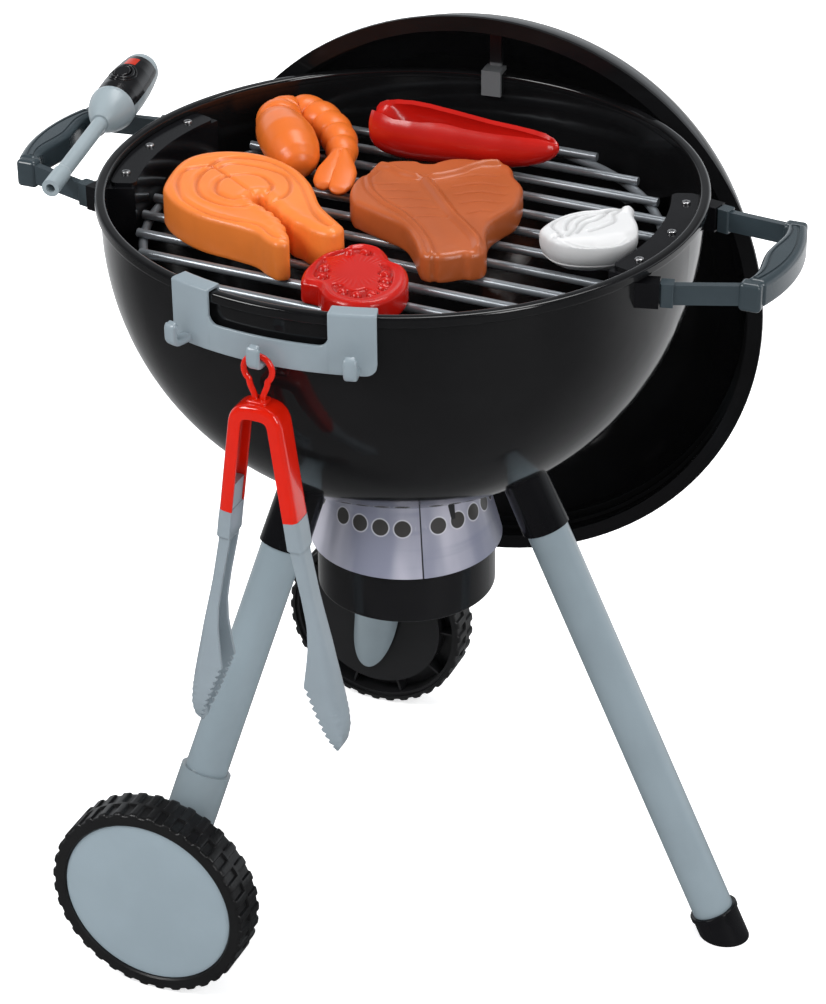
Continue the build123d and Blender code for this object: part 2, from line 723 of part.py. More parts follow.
grip_face = grip_outline(0, grip_round)
grip_body = Pos(0, 0, grip_low) * extrude(grip_face, grip_height)
grip_body = fillet(grip_body.faces().sort_by(Axis.Z)[-1].edges() + grip_body.faces().sort_by(Axis.Z)[0].edges(), grip_round)
groove_face = grip_outline(groove_inset - groove_wide, groove_wide) - grip_outline(groove_inset, groove_wide / 2)
grip_body -= Pos(0, 0, grip_low + grip_height - groove_deep) * extrude(groove_face, grip_height)
handle_body = grip_body
for side in (-1, 1):
    handle_body += arm_frame(side) * arm_body
    post = block(
        grip_inner_end - post_drop, grip_inner_end + post_long, side * grip_half - post_wide / 2,
        side * grip_half + post_wide / 2, grip_low - post_drop, grip_low + grip_height - groove_deep)
    handle_body += fillet(post.edges(), post_round)
for name, turn in (("right", 0), ("left", 180)):
    spin = Rot(0, 0, turn)
    save(f"handle_{name}", spin * handle_body)
    save(f"handle_bracket_{name}", spin * bracket_body)
    save(f"handle_plate_{name}", spin * plate_body)
    save(f"handle_screws_{name}", *[spin * screw for screw in plate_screws])

# Accessory rack: a curved plate hung over the lip by two tabs, with three tool hooks
rack_inner = rim_radius + seat_gap
rack_outer = rack_inner + rack_plate
rack_top = rim_height + seat_gap + rack_plate
rack_face = Pos(0, (rack_low + rack_top) / 2) * Rectangle(2 * rack_half, rack_top - rack_low)
rack_face = fillet(rack_face.vertices().group_by(Axis.Y)[0], rack_corner)
window_face = Pos(0, rack_band_top + overrun) * Rectangle(2 * rack_window_half, 2 * overrun)
window_face = fillet(window_face.vertices().group_by(Axis.Y)[0], rack_window_corner)
front_half = -2 * rim_radius
rack_slab = prism(rack_face - window_face, front_half, 0)
rack_leg_outer = bowl_inside - rack_leg_gap
hanger = ring(rack_outer, rack_inner, rack_low, rack_top)
tab_over = ring(rack_outer, rack_leg_outer - rack_plate, rack_top - rack_plate, rack_top)
tab_over += ring(rack_leg_outer, rack_leg_outer - rack_plate, rack_top - rack_leg_drop, rack_top)
tab_slab = prism(Pos(0, rack_top) * Rectangle(2 * rack_half, 2 * rack_leg_drop) - window_face, front_half, 0)
rack_body = Rot(0, 0, rack_azimuth + 90) * ((hanger & rack_slab) + (tab_over & tab_slab))
saddle_at = rack_outer + hook_saddle_out
hook_tip = rack_outer + hook_reach
web_face = polygon([
    (rack_outer - rack_plate / 2, hook_low), (hook_tip - hook_tip_thick / 2, hook_low),
    (hook_tip - hook_tip_thick / 2, hook_low + hook_tip_high - hook_round), (saddle_at, hook_low + hook_tip_high - hook_round),
    (rack_outer - rack_plate / 2, rack_band_top),
])
web_face = fillet(web_face.vertices().sort_by(Axis.Y)[0:2].sort_by(Axis.X)[-1], hook_round)
slot_face = Pos(saddle_at, hook_saddle_low + overrun / 2) * Rectangle(2 * hook_saddle_radius, overrun)
slot_face = fillet(slot_face.vertices().group_by(Axis.Y)[0], hook_saddle_radius / 3)
hook_web_body = prism(web_face - slot_face, -hook_web / 2, hook_web / 2)
tip_face = RectangleRounded(hook_tip_wide, hook_tip_high, hook_round)
tip_body = Pos(hook_tip - hook_tip_thick, 0, hook_low + hook_tip_high / 2) * extrude(Plane.YZ * tip_face, hook_tip_thick)
hook_body = hook_web_body + tip_body
for azimuth in hook_azimuths:
    rack_body += Rot(0, 0, azimuth) * hook_body
save("accessory_rack", rack_body)

# Tongs: a red channel bow with a hanging loop, split at its shoulders where it flexes, and two jaws
tongs_slope = tongs_spread / tongs_long
tongs_turn = math.radians(hook_azimuths[1])


def bow_face(inset, round_size):
    """Outline of the bow, closed below, smaller all round by an inset."""
    low = tongs_end - overrun
    low_half = tongs_end_half + tongs_slope * overrun
    face = polygon([
        (-low_half + inset, low), (-tongs_top_half + inset * (1 - tongs_slope), tongs_top - inset),
        (tongs_top_half - inset * (1 - tongs_slope), tongs_top - inset), (low_half - inset, low),
    ])
    return fillet(face.vertices().group_by(Axis.Y)[-1], round_size)


def arm_edge(height, inset):
    """Half width of the bow at a height, less an inset."""
    return tongs_end_half + tongs_slope * (tongs_end - height) - inset


bow_whole = bow_face(0, tongs_outer_round)
bow_band = bow_whole - bow_face(tongs_depth, tongs_inner_round)
bow_hollow = bow_face(tongs_wall, tongs_outer_round - tongs_wall)
bow_body = prism(bow_band, -tongs_wide / 2, tongs_wide / 2)
bow_body -= prism(bow_hollow, -tongs_wide / 2 + tongs_wall, tongs_wide / 2 - tongs_wall)
loop_outer = loop_inner + loop_wire
loop_face = Pos(0, loop_centre) * Circle(loop_outer)
loop_face += polygon([
    (-loop_outer * 0.97, loop_centre - loop_outer * 0.24), (loop_outer * 0.97, loop_centre - loop_outer * 0.24),
    (loop_neck_half, loop_centre - loop_taper), (loop_neck_half, tongs_top - tongs_wall),
    (-loop_neck_half, tongs_top - tongs_wall), (-loop_neck_half, loop_centre - loop_taper),
])
loop_face -= Pos(0, loop_centre) * Circle(loop_inner)
loop_face -= polygon([
    (-loop_inner * 0.97, loop_centre - loop_inner * 0.24), (loop_inner * 0.97, loop_centre - loop_inner * 0.24),
    (0, loop_centre - loop_inner - loop_inner_taper / 2),
])
bow_body += prism(loop_face, -loop_wire / 2, loop_wire / 2)
neck_top = tongs_top + loop_wire / 2
bow_body += block(
    -loop_neck_half - loop_wire / 4, loop_neck_half + loop_wire / 4, -loop_neck_width / 2, loop_neck_width / 2,
    tongs_top - tongs_wall / 2, neck_top)
tongs_at = Pos(saddle_at * math.cos(tongs_turn), saddle_at * math.sin(tongs_turn), 0)
wide_cut = 4 * tongs_wide
crown_cut = block(-wide_cut, wide_cut, -wide_cut, wide_cut, tongs_shoulder, tongs_top + wide_cut)
arm_cut = block(0, wide_cut, -wide_cut, wide_cut, tongs_end, tongs_shoulder - seat_gap)
red_arm = bow_body & arm_cut
plug_high = tongs_end + jaw_plug
jaw_height = tongs_end - jaw_tip


def jaw_points(shares):
    """Jaw outline points from shares of the tongs' spread and the jaw's height."""
    return [(2 * tongs_end_half * across, jaw_tip + jaw_height * up) for across, up in shares]


jaw_face = polygon(jaw_points(jaw_outer_shares) + jaw_points(jaw_inner_shares))
jaw_plan = polygon([
    (-jaw_collar_half, tongs_end - fit_gap), (-jaw_collar_half, jaw_collar_low), (-jaw_shaft_half, jaw_collar_low - jaw_web),
    (-jaw_shaft_half, jaw_tip + jaw_height * 0.6), (-jaw_paddle_half, jaw_tip + jaw_height * 0.33),
    (-jaw_paddle_half, jaw_tip + jaw_height * 0.12), (-jaw_paddle_half / 3, jaw_tip),
    (jaw_paddle_half / 3, jaw_tip), (jaw_paddle_half, jaw_tip + jaw_height * 0.12),
    (jaw_paddle_half, jaw_tip + jaw_height * 0.33), (jaw_shaft_half, jaw_tip + jaw_height * 0.6),
    (jaw_shaft_half, jaw_collar_low - jaw_web), (jaw_collar_half, jaw_collar_low), (jaw_collar_half, tongs_end - fit_gap),
])
jaw_hollow_plan = polygon([
    (-jaw_shaft_half + jaw_side, jaw_collar_low - jaw_web * 2), (-jaw_shaft_half + jaw_side, jaw_tip + jaw_height * 0.6),
    (-jaw_paddle_half + jaw_side, jaw_tip + jaw_height * 0.33), (-jaw_paddle_half + jaw_side, jaw_tip + jaw_height * 0.13),
    (0, jaw_tip + jaw_height * 0.05), (jaw_paddle_half - jaw_side, jaw_tip + jaw_height * 0.13),
    (jaw_paddle_half - jaw_side, jaw_tip + jaw_height * 0.33), (jaw_shaft_half - jaw_side, jaw_tip + jaw_height * 0.6),
    (jaw_shaft_half - jaw_side, jaw_collar_low - jaw_web * 2),
])
jaw_body = prism(jaw_face, -tongs_wide, tongs_wide) & extrude(Plane.YZ * jaw_plan, 4 * tongs_end_half)
jaw_hollow = prism(Pos(-jaw_web, 0) * jaw_face, -tongs_wide, tongs_wide)
jaw_hollow += prism(Pos(-2 * jaw_web, 0) * jaw_face, -tongs_wide, tongs_wide)
jaw_body -= jaw_hollow & extrude(Plane.YZ * jaw_hollow_plan, 4 * tongs_end_half)
tooth_start, tooth_end = jaw_points(jaw_inner_shares)[1], jaw_points(jaw_inner_shares)[0]
for step in range(jaw_teeth):
    share = (step + 0.5) / jaw_teeth
    x_here = tooth_start[0] + share * (tooth_end[0] - tooth_start[0])
    z_here = tooth_start[1] + share * (tooth_end[1] - tooth_start[1])
    jaw_body -= Pos(x_here, 0, z_here) * Rot(90, 0, 0) * Cylinder(jaw_tooth_radius, 4 * tongs_wide)
plug_face = polygon([
    (arm_edge(tongs_end - fit_gap, tongs_depth), tongs_end - fit_gap * 2), (arm_edge(plug_high, tongs_depth), plug_high),
    (arm_edge(plug_high, tongs_wall + fit_gap), plug_high), (arm_edge(tongs_end - fit_gap, tongs_wall + fit_gap), tongs_end - fit_gap * 2),
])
plug_half = tongs_wide / 2 - tongs_wall - fit_gap
jaw_body += prism(plug_face, -plug_half, plug_half)
save("tongs_bow", tongs_at * (bow_body & crown_cut))
save("tongs_arm_right", tongs_at * red_arm)
save("tongs_arm_left", tongs_at * mirror(red_arm, Plane.YZ))
save("tongs_jaw_right", tongs_at * jaw_body)
save("tongs_jaw_left", tongs_at * mirror(jaw_body, Plane.YZ))

# Lighter: it lies over both arms of the left handle, so its height and pitch follow from them
heading = math.radians(lighter_heading)


def lighter_over(side, radius):
    """Station of the lighter over a left handle arm, and its axis height there."""
    slope = math.tan(math.radians(arm_converge))
    station = 0.0
    for _ in range(20):
        x_here = -lighter_mouth[0] - station * math.cos(heading)
        y_arm = side * (arm_root_y - (x_here - arm_root_x) * slope)
        station = (y_arm - lighter_mouth[1]) / math.sin(heading)
    rise = arm_rise * (x_here - arm_root_x) / arm_reach
    return station, arm_low + arm_height + rise + seat_gap + radius


front_station, front_height = lighter_over(-1, lighter_tube_radius)
back_station, back_height = lighter_over(1, lighter_radius)
pitch = math.atan2(back_height - front_height, back_station - front_station)
mouth_height = front_height - front_station * math.tan(pitch) + lighter_radius * (1 / math.cos(pitch) - 1)
lighter_at = Pos(*lighter_mouth, mouth_height) * Rot(0, 0, lighter_heading) * Rot(0, -math.degrees(pitch), 0)


def along(face):
    """Solid of a half section drawn as station and radius, turned about the lighter's axis."""
    return revolve(face, axis=Axis.X)


tube_face = polygon([
    (0, 0), (0, lighter_collar_radius), (lighter_collar_length, lighter_collar_radius),
    (lighter_collar_length + lighter_tube_radius / 2, lighter_tube_radius), (lighter_nose_start, lighter_tube_radius),
    (lighter_nose_start, 0),
])
bore_face = Pos(lighter_bore_deep / 2, lighter_bore / 2) * Rectangle(lighter_bore_deep, lighter_bore)
lighter_tube = along(tube_face) - along(bore_face)
nose_small = lighter_tube_radius + lighter_wall / 2
nose_face = make_face(
    ThreePointArc(
        (lighter_nose_start + fit_gap, nose_small),
        ((lighter_nose_start + lighter_body_start) / 2 - lighter_wall, lighter_nose_radius * 0.76),
        (lighter_body_start - lighter_wall, lighter_nose_radius))
    + Polyline((lighter_body_start - lighter_wall, lighter_nose_radius), (lighter_body_start, lighter_nose_radius),
               (lighter_body_start, 0), (lighter_nose_start + fit_gap, 0), (lighter_nose_start + fit_gap, nose_small)))
lighter_nose = along(nose_face)
barrel_start, barrel_end = lighter_body_start + fit_gap, lighter_body_end - fit_gap
barrel_long = barrel_end - barrel_start
above = Rectangle(overrun, overrun, align=(Align.CENTER, Align.MIN))
below = Rectangle(overrun, overrun, align=(Align.CENTER, Align.MAX))
barrel_ring = Circle(lighter_radius) - Circle(lighter_radius - lighter_wall)
upper_half = Pos(barrel_start, 0, 0) * extrude(Plane.YZ * (barrel_ring & Pos(0, lighter_split) * above), barrel_long)
lower_half = Pos(barrel_start, 0, 0) * extrude(Plane.YZ * (barrel_ring & Pos(0, lighter_split - fit_gap) * below), barrel_long)


def button_oval(margin):
    """Plan of the button, grown by a margin."""
    return Pos(button_station, 0) * Ellipse(button_long / 2 + margin, button_wide / 2 + margin)


button_hole = extrude(button_oval(running_gap), overrun)
rim_top = lighter_radius + button_proud / 2
collar_low = lighter_radius - lighter_wall
button_collar = Pos(0, 0, collar_low) * extrude(button_oval(running_gap + button_ring), rim_top - collar_low)
upper_shell = upper_half + button_collar - button_hole
button_top = rim_top + button_proud / 2
button_body = Pos(0, 0, button_top - button_stem) * extrude(button_oval(0), button_stem)
button_body = fillet(button_body.edges().sort_by(Axis.Z)[-1], button_proud / 2)
end_face = make_face(
    EllipticalCenterArc((lighter_body_end, 0), lighter_end - lighter_body_end, lighter_radius, start_angle=0, arc_size=90)
    + Polyline((lighter_end, 0), (lighter_body_end, 0), (lighter_body_end, lighter_radius)))
save("lighter_tube", lighter_at * lighter_tube)
save("lighter_nose", lighter_at * lighter_nose)
save("lighter_upper_shell", lighter_at * upper_shell)
save("lighter_lower_shell", lighter_at * lower_half)
save("lighter_button", lighter_at * button_body)
save("lighter_rear_cap", lighter_at * along(end_face))

# Lid: it hangs behind the bowl with its mouth to the front
lid_low = lid_level - lid_radius
leg_near_lid = (leg_ground_radius - lid_low * math.tan(math.radians(leg_splay))) * math.sin(rear_turn)
leg_clear = leg_near_lid + tube_radius / math.cos(math.radians(leg_splay)) + lid_leg_gap
lid_behind = max(bowl_radius - lid_behind_wall, leg_clear)
lid_centre = (lid_aside, lid_behind, lid_level)
lid_turn = math.radians(lid_azimuth)
lid_tip = math.radians(lid_lean)
lid_normal = (math.cos(lid_tip) * math.cos(lid_turn), math.cos(lid_tip) * math.sin(lid_turn), math.sin(lid_tip))
lid_at = Plane(origin=lid_centre, x_dir=(-math.sin(lid_turn), math.cos(lid_turn), 0), z_dir=lid_normal).location


def lid_solid(inset):
    """Kettle of the lid, smaller all round by an inset, in the lid's own frame."""
    return kettle(lid_shell_radius - inset, lid_depth - inset, lid_skirt)


lid_body = lid_solid(0)
lid_body += ring(lid_radius, lid_shell_radius - lid_wall / 2, -lid_flange, 0)
damper_drop = lid_skirt + (lid_depth - lid_skirt) * math.sqrt(1 - (damper_offset / lid_shell_radius) ** 2)
damper_tilt = math.degrees(math.atan2(
    damper_offset * (lid_depth - lid_skirt) ** 2, (damper_drop - lid_skirt) * lid_shell_radius ** 2))
damper_frame = Pos(0, -damper_offset, -damper_drop) * Rot(180 - damper_tilt, 0, 0)
lid_body += damper_frame * disc(damper_radius + damper_seat, -lid_wall * 2, damper_seat)
lid_body -= lid_solid(lid_wall)
for deep, inward in zip(lid_step_deep, lid_step_inward):
    step_ring = ring(lid_shell_radius, lid_shell_radius - lid_wall - inward, -deep - lid_step_long, -deep)
    lid_body += step_ring & lid_solid(lid_wall / 2)
hole_turns = (0, 120, 240)
for turn in hole_turns:
    spot = damper_frame * Rot(0, 0, turn) * Pos(damper_hole_circle, 0, 0)
    lid_body -= spot * disc(damper_hole, -overrun, overrun)
lid_body -= damper_frame * disc(damper_rivet + fit_gap, -overrun / 2, overrun)
lid_screw_spots = [Pos(side * lid_handle_half, 0, 0) for side in (-1, 1)]
lid_screw_drop = lid_skirt + (lid_depth - lid_wall - lid_skirt) * math.sqrt(1 - (lid_handle_half / (lid_shell_radius - lid_wall)) ** 2)
for spot in lid_screw_spots:
    lid_body -= spot * disc(lid_screw_radius + fit_gap, -lid_depth - overrun, -lid_depth / 2)
save("lid_shell", lid_at * lid_body)

damper_plate = disc(damper_radius, damper_seat + fit_gap, damper_seat + fit_gap + damper_thick)
tab_high = damper_seat + fit_gap + 3 * damper_thick
damper_plate += block(
    damper_radius - damper_tab, damper_radius - damper_thick, -damper_tab / 2, damper_tab / 2,
    damper_seat + fit_gap + damper_thick / 2, tab_high)
for turn in hole_turns:
    damper_plate -= Rot(0, 0, turn + 60) * Pos(damper_hole_circle, 0, 0) * disc(damper_hole, -overrun, overrun)
damper_plate -= disc(damper_rivet + running_gap, -overrun, overrun)
save("lid_damper", lid_at * damper_frame * damper_plate)
rivet_low = damper_seat + fit_gap + damper_thick + fit_gap
rivet = disc(damper_rivet, -lid_wall, rivet_low) + disc(2 * damper_rivet, rivet_low, rivet_low + damper_rivet / 2)
save("lid_damper_rivet", lid_at * damper_frame * rivet)

handle_level = -lid_depth - lid_handle_rise
handle_bar = Pos(0, 0, handle_level) * Rot(0, 90, 0) * Cylinder(lid_bar_radius, 2 * lid_handle_half + 3 * lid_post_radius)
handle_bar = fillet(handle_bar.edges(), lid_bar_radius / 3)
lid_grip = handle_bar
for spot in lid_screw_spots:
    lid_grip += spot * disc(lid_post_radius, handle_level, -lid_depth / 2)
    lid_grip -= spot * disc(lid_screw_radius + fit_gap, -lid_screw_drop - leg_screw_length, -lid_depth / 2)
save("lid_handle", lid_at * (lid_grip - lid_solid(-fit_gap)))
lid_screw = Rot(0, 0, 0) * cross_screw(
    leg_screw_head_radius, leg_screw_head_height, lid_screw_radius, leg_screw_length - seat_gap, screw_slot)
save("lid_handle_screws", *[lid_at * spot * Pos(0, 0, -lid_screw_drop + 2 * seat_gap) * lid_screw for spot in lid_screw_spots])

# Lid hook: over the bowl's lip, down inside it, and up to a foot on the lid's inner wall
hook_top = rim_height + seat_gap + lid_hook_thick
tab_outer = bowl_inside - rack_leg_gap
lid_hook = block(
    tab_outer - lid_hook_thick, tab_outer, -lid_hook_wide / 2, lid_hook_wide / 2, rim_height - lid_hook_drop, hook_top)
neck_inner = rim_radius + seat_gap
neck_outer = neck_inner + lid_hook_thick
lid_hook += block(
    tab_outer - lid_hook_thick, neck_outer, -lid_hook_wide / 2, lid_hook_wide / 2, rim_height + seat_gap, hook_top)
lid_hook += block(neck_inner, neck_outer, -lid_hook_neck / 2, lid_hook_neck / 2, rim_height - lip_height, lid_hook_foot_low + lid_hook_foot)
foot_box = block(
    neck_inner - lid_hook_foot, neck_outer + lid_hook_foot, -lid_hook_wide / 2, lid_hook_wide / 2,
    lid_hook_foot_low - lid_hook_foot, lid_hook_foot_low + overrun)
foot_skin = lid_at * (lid_solid(lid_wall + fit_gap) - lid_solid(lid_wall + fit_gap + lid_hook_thick))
hook_turned = Rot(0, 0, lid_hook_azimuth)
hook_done = ((hook_turned * lid_hook) & (lid_at * lid_solid(lid_wall + fit_gap))) + (hook_turned * foot_box & foot_skin)
save("lid_hook", hook_done)

# Play food, each piece resting on the rods
food_low = rod_top + seat_gap


def on_grate(share):
    """Place on the grate from shares of its reach."""
    return Pos(food_reach * share[0], food_reach * share[1], food_low)


def cut_slice(points, height, round_size):
    """Flat-bottomed slice with a smooth outline and a rounded top edge."""
    slab = extrude(smooth(points), height)
    return fillet(slab.faces().sort_by(Axis.Z)[-1].edges(), round_size)


def strip(points, wide, low, high):
    """Raised ridge of even width along a run of points."""
    return Pos(0, 0, low) * extrude(trace(Polyline(*points), wide), high - low)


salmon = cut_slice([(salmon_size * x, salmon_size * y) for x, y in salmon_shares], salmon_height, salmon_round)
save("salmon_steak", on_grate(salmon_place_share) * salmon)
tbone = cut_slice([(tbone_size * x, tbone_size * y) for x, y in tbone_shares], tbone_height, tbone_round)
for shares in (tbone_ridge_shares, tbone_stem_shares):
    run = [(tbone_size * x, tbone_size * y) for x, y in shares]
    tbone += strip(run, tbone_ridge, tbone_height - tbone_round, tbone_height + tbone_ridge_rise)
save("tbone_steak", on_grate(tbone_place_share) * tbone)


def tomato_outline(inset):
    """Uneven round outline of the tomato slice, smaller all round by an inset."""
    points = []
    for step in range(12):
        bearing = 2 * math.pi * step / 12
        reach = (tomato_radius - inset) * (1 + 0.05 * math.cos(2 * bearing - 1.4) + 0.025 * math.cos(3 * bearing))
        points.append((reach * math.cos(bearing), reach * math.sin(bearing)))
    return points


tomato = cut_slice(tomato_outline(0), tomato_height, tomato_round)
tomato_pocket = extrude(smooth(tomato_outline(tomato_rim)), tomato_height)
tomato_heart = extrude(smooth(tomato_outline(tomato_rim * 3)), tomato_height)
tomato -= Pos(0, 0, tomato_height - tomato_recess) * (tomato_pocket - tomato_heart)
save("tomato_slice", on_grate(tomato_place_share) * tomato)


def bead(radius, half_height):
    """Flattened ball about the origin."""
    half = make_face(
        EllipticalCenterArc((0, 0), radius, half_height, start_angle=270, arc_size=180)
        + Line((0, half_height), (0, -half_height)))
    return spun(half)


onion_dome = Pos(0, 0, onion_height) * bead(onion_radius, onion_height * 1.12)
onion = onion_dome & block(-onion_radius, onion_radius, -onion_radius, onion_radius, 0, onion_height)
onion += Pos(onion_radius * 0.78, onion_radius * 0.62, onion_height - onion_tip) * (
    Sphere(onion_tip) & block(-onion_tip, onion_tip, -onion_tip, onion_tip, -onion_tip, onion_tip / 2))
save("onion_half", on_grate(onion_place_share) * onion)


def pepper_solid(inset):
    """Pepper of revolution about X, smaller all round by an inset."""
    reach = (pepper_length - 2 * inset) / pepper_length
    points = [(pepper_length * x * reach, max(pepper_radius * y - inset, 0)) for x, y in pepper_shares]
    return revolve(make_face(Spline(*points) + Line(points[-1], points[0])), axis=Axis.X)


pepper = pepper_solid(0) - pepper_solid(pepper_wall)
pepper = pepper & block(-pepper_length, pepper_length, -pepper_length, pepper_length, -pepper_length, 0)
pepper = Rot(0, 0, pepper_turn) * Rot(0, pepper_dip, 0) * pepper
pepper_drop = pepper.bounding_box().min.Z
save("pepper_half", on_grate(pepper_place_share) * Pos(0, 0, -pepper_drop - pepper_sink) * pepper)

shrimp_sections = []
shrimp_run = [(shrimp_size * x, shrimp_size * y, shrimp_size * reach) for x, y, reach in shrimp_shares]
for step, (x, y, radius) in enumerate(shrimp_run):
    before, after = shrimp_run[max(step - 1, 0)], shrimp_run[min(step + 1, len(shrimp_run) - 1)]
    ahead = Vector(after[0] - before[0], after[1] - before[1], 0).normalized()
    section = Plane(origin=(x, y, radius * shrimp_flat_share * 0.8), x_dir=ahead.cross(Vector(0, 0, 1)), z_dir=ahead)
    shrimp_sections.append(section * Ellipse(radius, radius * shrimp_flat_share))
shrimp = loft(shrimp_sections)
shrimp = shrimp & block(-shrimp_size, shrimp_size, -shrimp_size, shrimp_size, 0, shrimp_size)
save("shrimp", on_grate(shrimp_place_share) * shrimp)
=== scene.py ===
# %% [markdown]
# A toy kettle barbecue, dressed for the camera. The imported model comes first and is never moved: every
# piece made here, apart from the two halves of the tongs' bow, rides on one of its bodies, so the scene can
# be posed like the real toy. Lengths are metres, the ground is at zero, the right handle points along X and
# the tool rack towards -Y.

# %% Load the imported model
import json
import math
import bpy
import bmesh
import numpy as np
from mathutils import Matrix, Vector
from mathutils.geometry import delaunay_2d_cdt


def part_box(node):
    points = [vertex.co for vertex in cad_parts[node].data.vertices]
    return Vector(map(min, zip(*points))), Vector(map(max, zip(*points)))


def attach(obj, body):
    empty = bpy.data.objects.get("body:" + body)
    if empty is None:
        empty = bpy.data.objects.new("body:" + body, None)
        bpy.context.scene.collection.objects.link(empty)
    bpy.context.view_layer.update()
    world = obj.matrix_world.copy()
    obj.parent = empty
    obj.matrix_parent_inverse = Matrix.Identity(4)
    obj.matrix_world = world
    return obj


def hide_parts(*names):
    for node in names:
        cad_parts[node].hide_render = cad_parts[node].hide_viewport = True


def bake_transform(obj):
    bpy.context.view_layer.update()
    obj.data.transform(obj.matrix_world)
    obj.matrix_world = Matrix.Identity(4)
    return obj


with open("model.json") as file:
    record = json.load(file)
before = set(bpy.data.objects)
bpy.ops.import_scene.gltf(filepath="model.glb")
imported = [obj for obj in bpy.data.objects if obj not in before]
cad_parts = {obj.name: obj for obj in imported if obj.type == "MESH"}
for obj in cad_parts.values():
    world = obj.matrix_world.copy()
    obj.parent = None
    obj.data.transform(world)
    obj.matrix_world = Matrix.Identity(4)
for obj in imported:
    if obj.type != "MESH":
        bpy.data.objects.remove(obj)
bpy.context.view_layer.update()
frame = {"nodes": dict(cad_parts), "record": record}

MM = 0.001
nodes = frame["nodes"]

# %% [markdown]
# The camera is worked out from the photograph: known circles, such as the rim and the wheels, fix where
# it stood, how far away, and how long its lens was. A long lens from a high three-quarter view keeps
# the bowl's rim a calm ellipse.

# %% Camera
scene = bpy.context.scene
AZIMUTH, ELEVATION, ROLL, DISTANCE = 0.405, 0.523, -0.010, 1.7483
TARGET_RIGHT, TARGET_UP = 0.0039, 0.2487
FOCAL_PIXELS, PHOTO_PIXELS, SENSOR_WIDE = 3070.7, 1004, 36
level_share = math.cos(ELEVATION)
back = Vector((math.sin(AZIMUTH) * level_share, -math.cos(AZIMUTH) * level_share, math.sin(ELEVATION)))
right = Vector((math.cos(AZIMUTH), math.sin(AZIMUTH), 0))
up = back.cross(right)
eye = right * TARGET_RIGHT + Vector((0, 0, TARGET_UP)) + back * DISTANCE
turned_right = right * math.cos(ROLL) + up * math.sin(ROLL)
turned_up = up * math.cos(ROLL) - right * math.sin(ROLL)
camera_data = bpy.data.cameras.new("camera")
camera_data.sensor_fit = "AUTO"
camera_data.sensor_width = SENSOR_WIDE
camera_data.lens = FOCAL_PIXELS / PHOTO_PIXELS * SENSOR_WIDE
camera = bpy.data.objects.new("camera", camera_data)
scene.collection.objects.link(camera)
axes = Matrix((turned_right, turned_up, back)).transposed().to_4x4()
camera.matrix_world = Matrix.Translation(eye) @ axes
scene.camera = camera
scene.view_settings.view_transform = "Standard"
print("camera at", [round(v, 3) for v in eye])

# %% [markdown]
# Glossy black plastic shows its surroundings more than its own colour. So the room is three rooms in one:
# plain white to the camera, pale where it gives light, and for reflections white behind the toy and dark
# in front, which keeps the black parts black. Three soft lamps add the long highlights.

# %% Room and floor
WHITE, FELT_TINT, MIRRORED_TINT = (1, 1, 1, 1), (0.95, 0.97, 1, 1), (0.92, 0.96, 1, 1)
FELT_STRENGTH = 0.62
BEHIND_TO_FRONT = (-0.75, 0.25, 0.95, 0.07)
HIGH_TO_LOW = (-0.5, -0.12, 0.12, 1.0)
FLOOR_HALF, FLOOR_DROP = 6.0, 0.0005


def make_room():
    """World of three backgrounds, chosen by the kind of ray that meets it."""
    world = bpy.data.worlds.new("room")
    scene.world = world
    world.use_nodes = True
    tree = world.node_tree
    tree.nodes.clear()

    def background(tint, strength):
        node = tree.nodes.new("ShaderNodeBackground")
        node.inputs["Color"].default_value = tint
        node.inputs["Strength"].default_value = strength
        return node

    def ramp(source, limits):
        """Smooth ramp of a socket; the limits are its start and end, then the values there."""
        node = tree.nodes.new("ShaderNodeMapRange")
        node.interpolation_type = "SMOOTHSTEP"
        for key, item in zip(("From Min", "From Max", "To Min", "To Max"), limits):
            node.inputs[key].default_value = item
        tree.links.new(source, node.inputs["Value"])
        return node.outputs["Result"]

    def choice(*sources):
        """Shader that is the second source where the first is 0, and the third where it is 1."""
        node = tree.nodes.new("ShaderNodeMixShader")
        for place, source in enumerate(sources):
            tree.links.new(source, node.inputs[place])
        return node.outputs[0]

    seen, felt = background(WHITE, 1.0), background(FELT_TINT, FELT_STRENGTH)
    mirrored = background(MIRRORED_TINT, 1.0)
    toward = tree.nodes.new("ShaderNodeSeparateXYZ")
    tree.links.new(tree.nodes.new("ShaderNodeNewGeometry").outputs["Incoming"], toward.inputs[0])
    both = tree.nodes.new("ShaderNodeMath")
    both.operation = "MULTIPLY"
    tree.links.new(ramp(toward.outputs["Y"], BEHIND_TO_FRONT), both.inputs[0])
    tree.links.new(ramp(toward.outputs["Z"], HIGH_TO_LOW), both.inputs[1])
    tree.links.new(both.outputs[0], mirrored.inputs["Strength"])
    ray = tree.nodes.new("ShaderNodeLightPath").outputs
    lighting = choice(ray["Is Glossy Ray"], felt.outputs[0], mirrored.outputs[0])
    whole = choice(ray["Is Camera Ray"], lighting, seen.outputs[0])
    tree.links.new(whole, tree.nodes.new("ShaderNodeOutputWorld").inputs["Surface"])


def lamp(name, place, aim, size, watts):
    """A soft rectangular lamp that looks at a point."""
    data = bpy.data.lights.new(name, "AREA")
    data.shape = "RECTANGLE"
    data.size, data.size_y = size
    data.energy = watts
    made = bpy.data.objects.new(name, data)
    made.location = place
    made.rotation_euler = (Vector(place) - Vector(aim)).to_track_quat("Z", "Y").to_euler()
    scene.collection.objects.link(made)


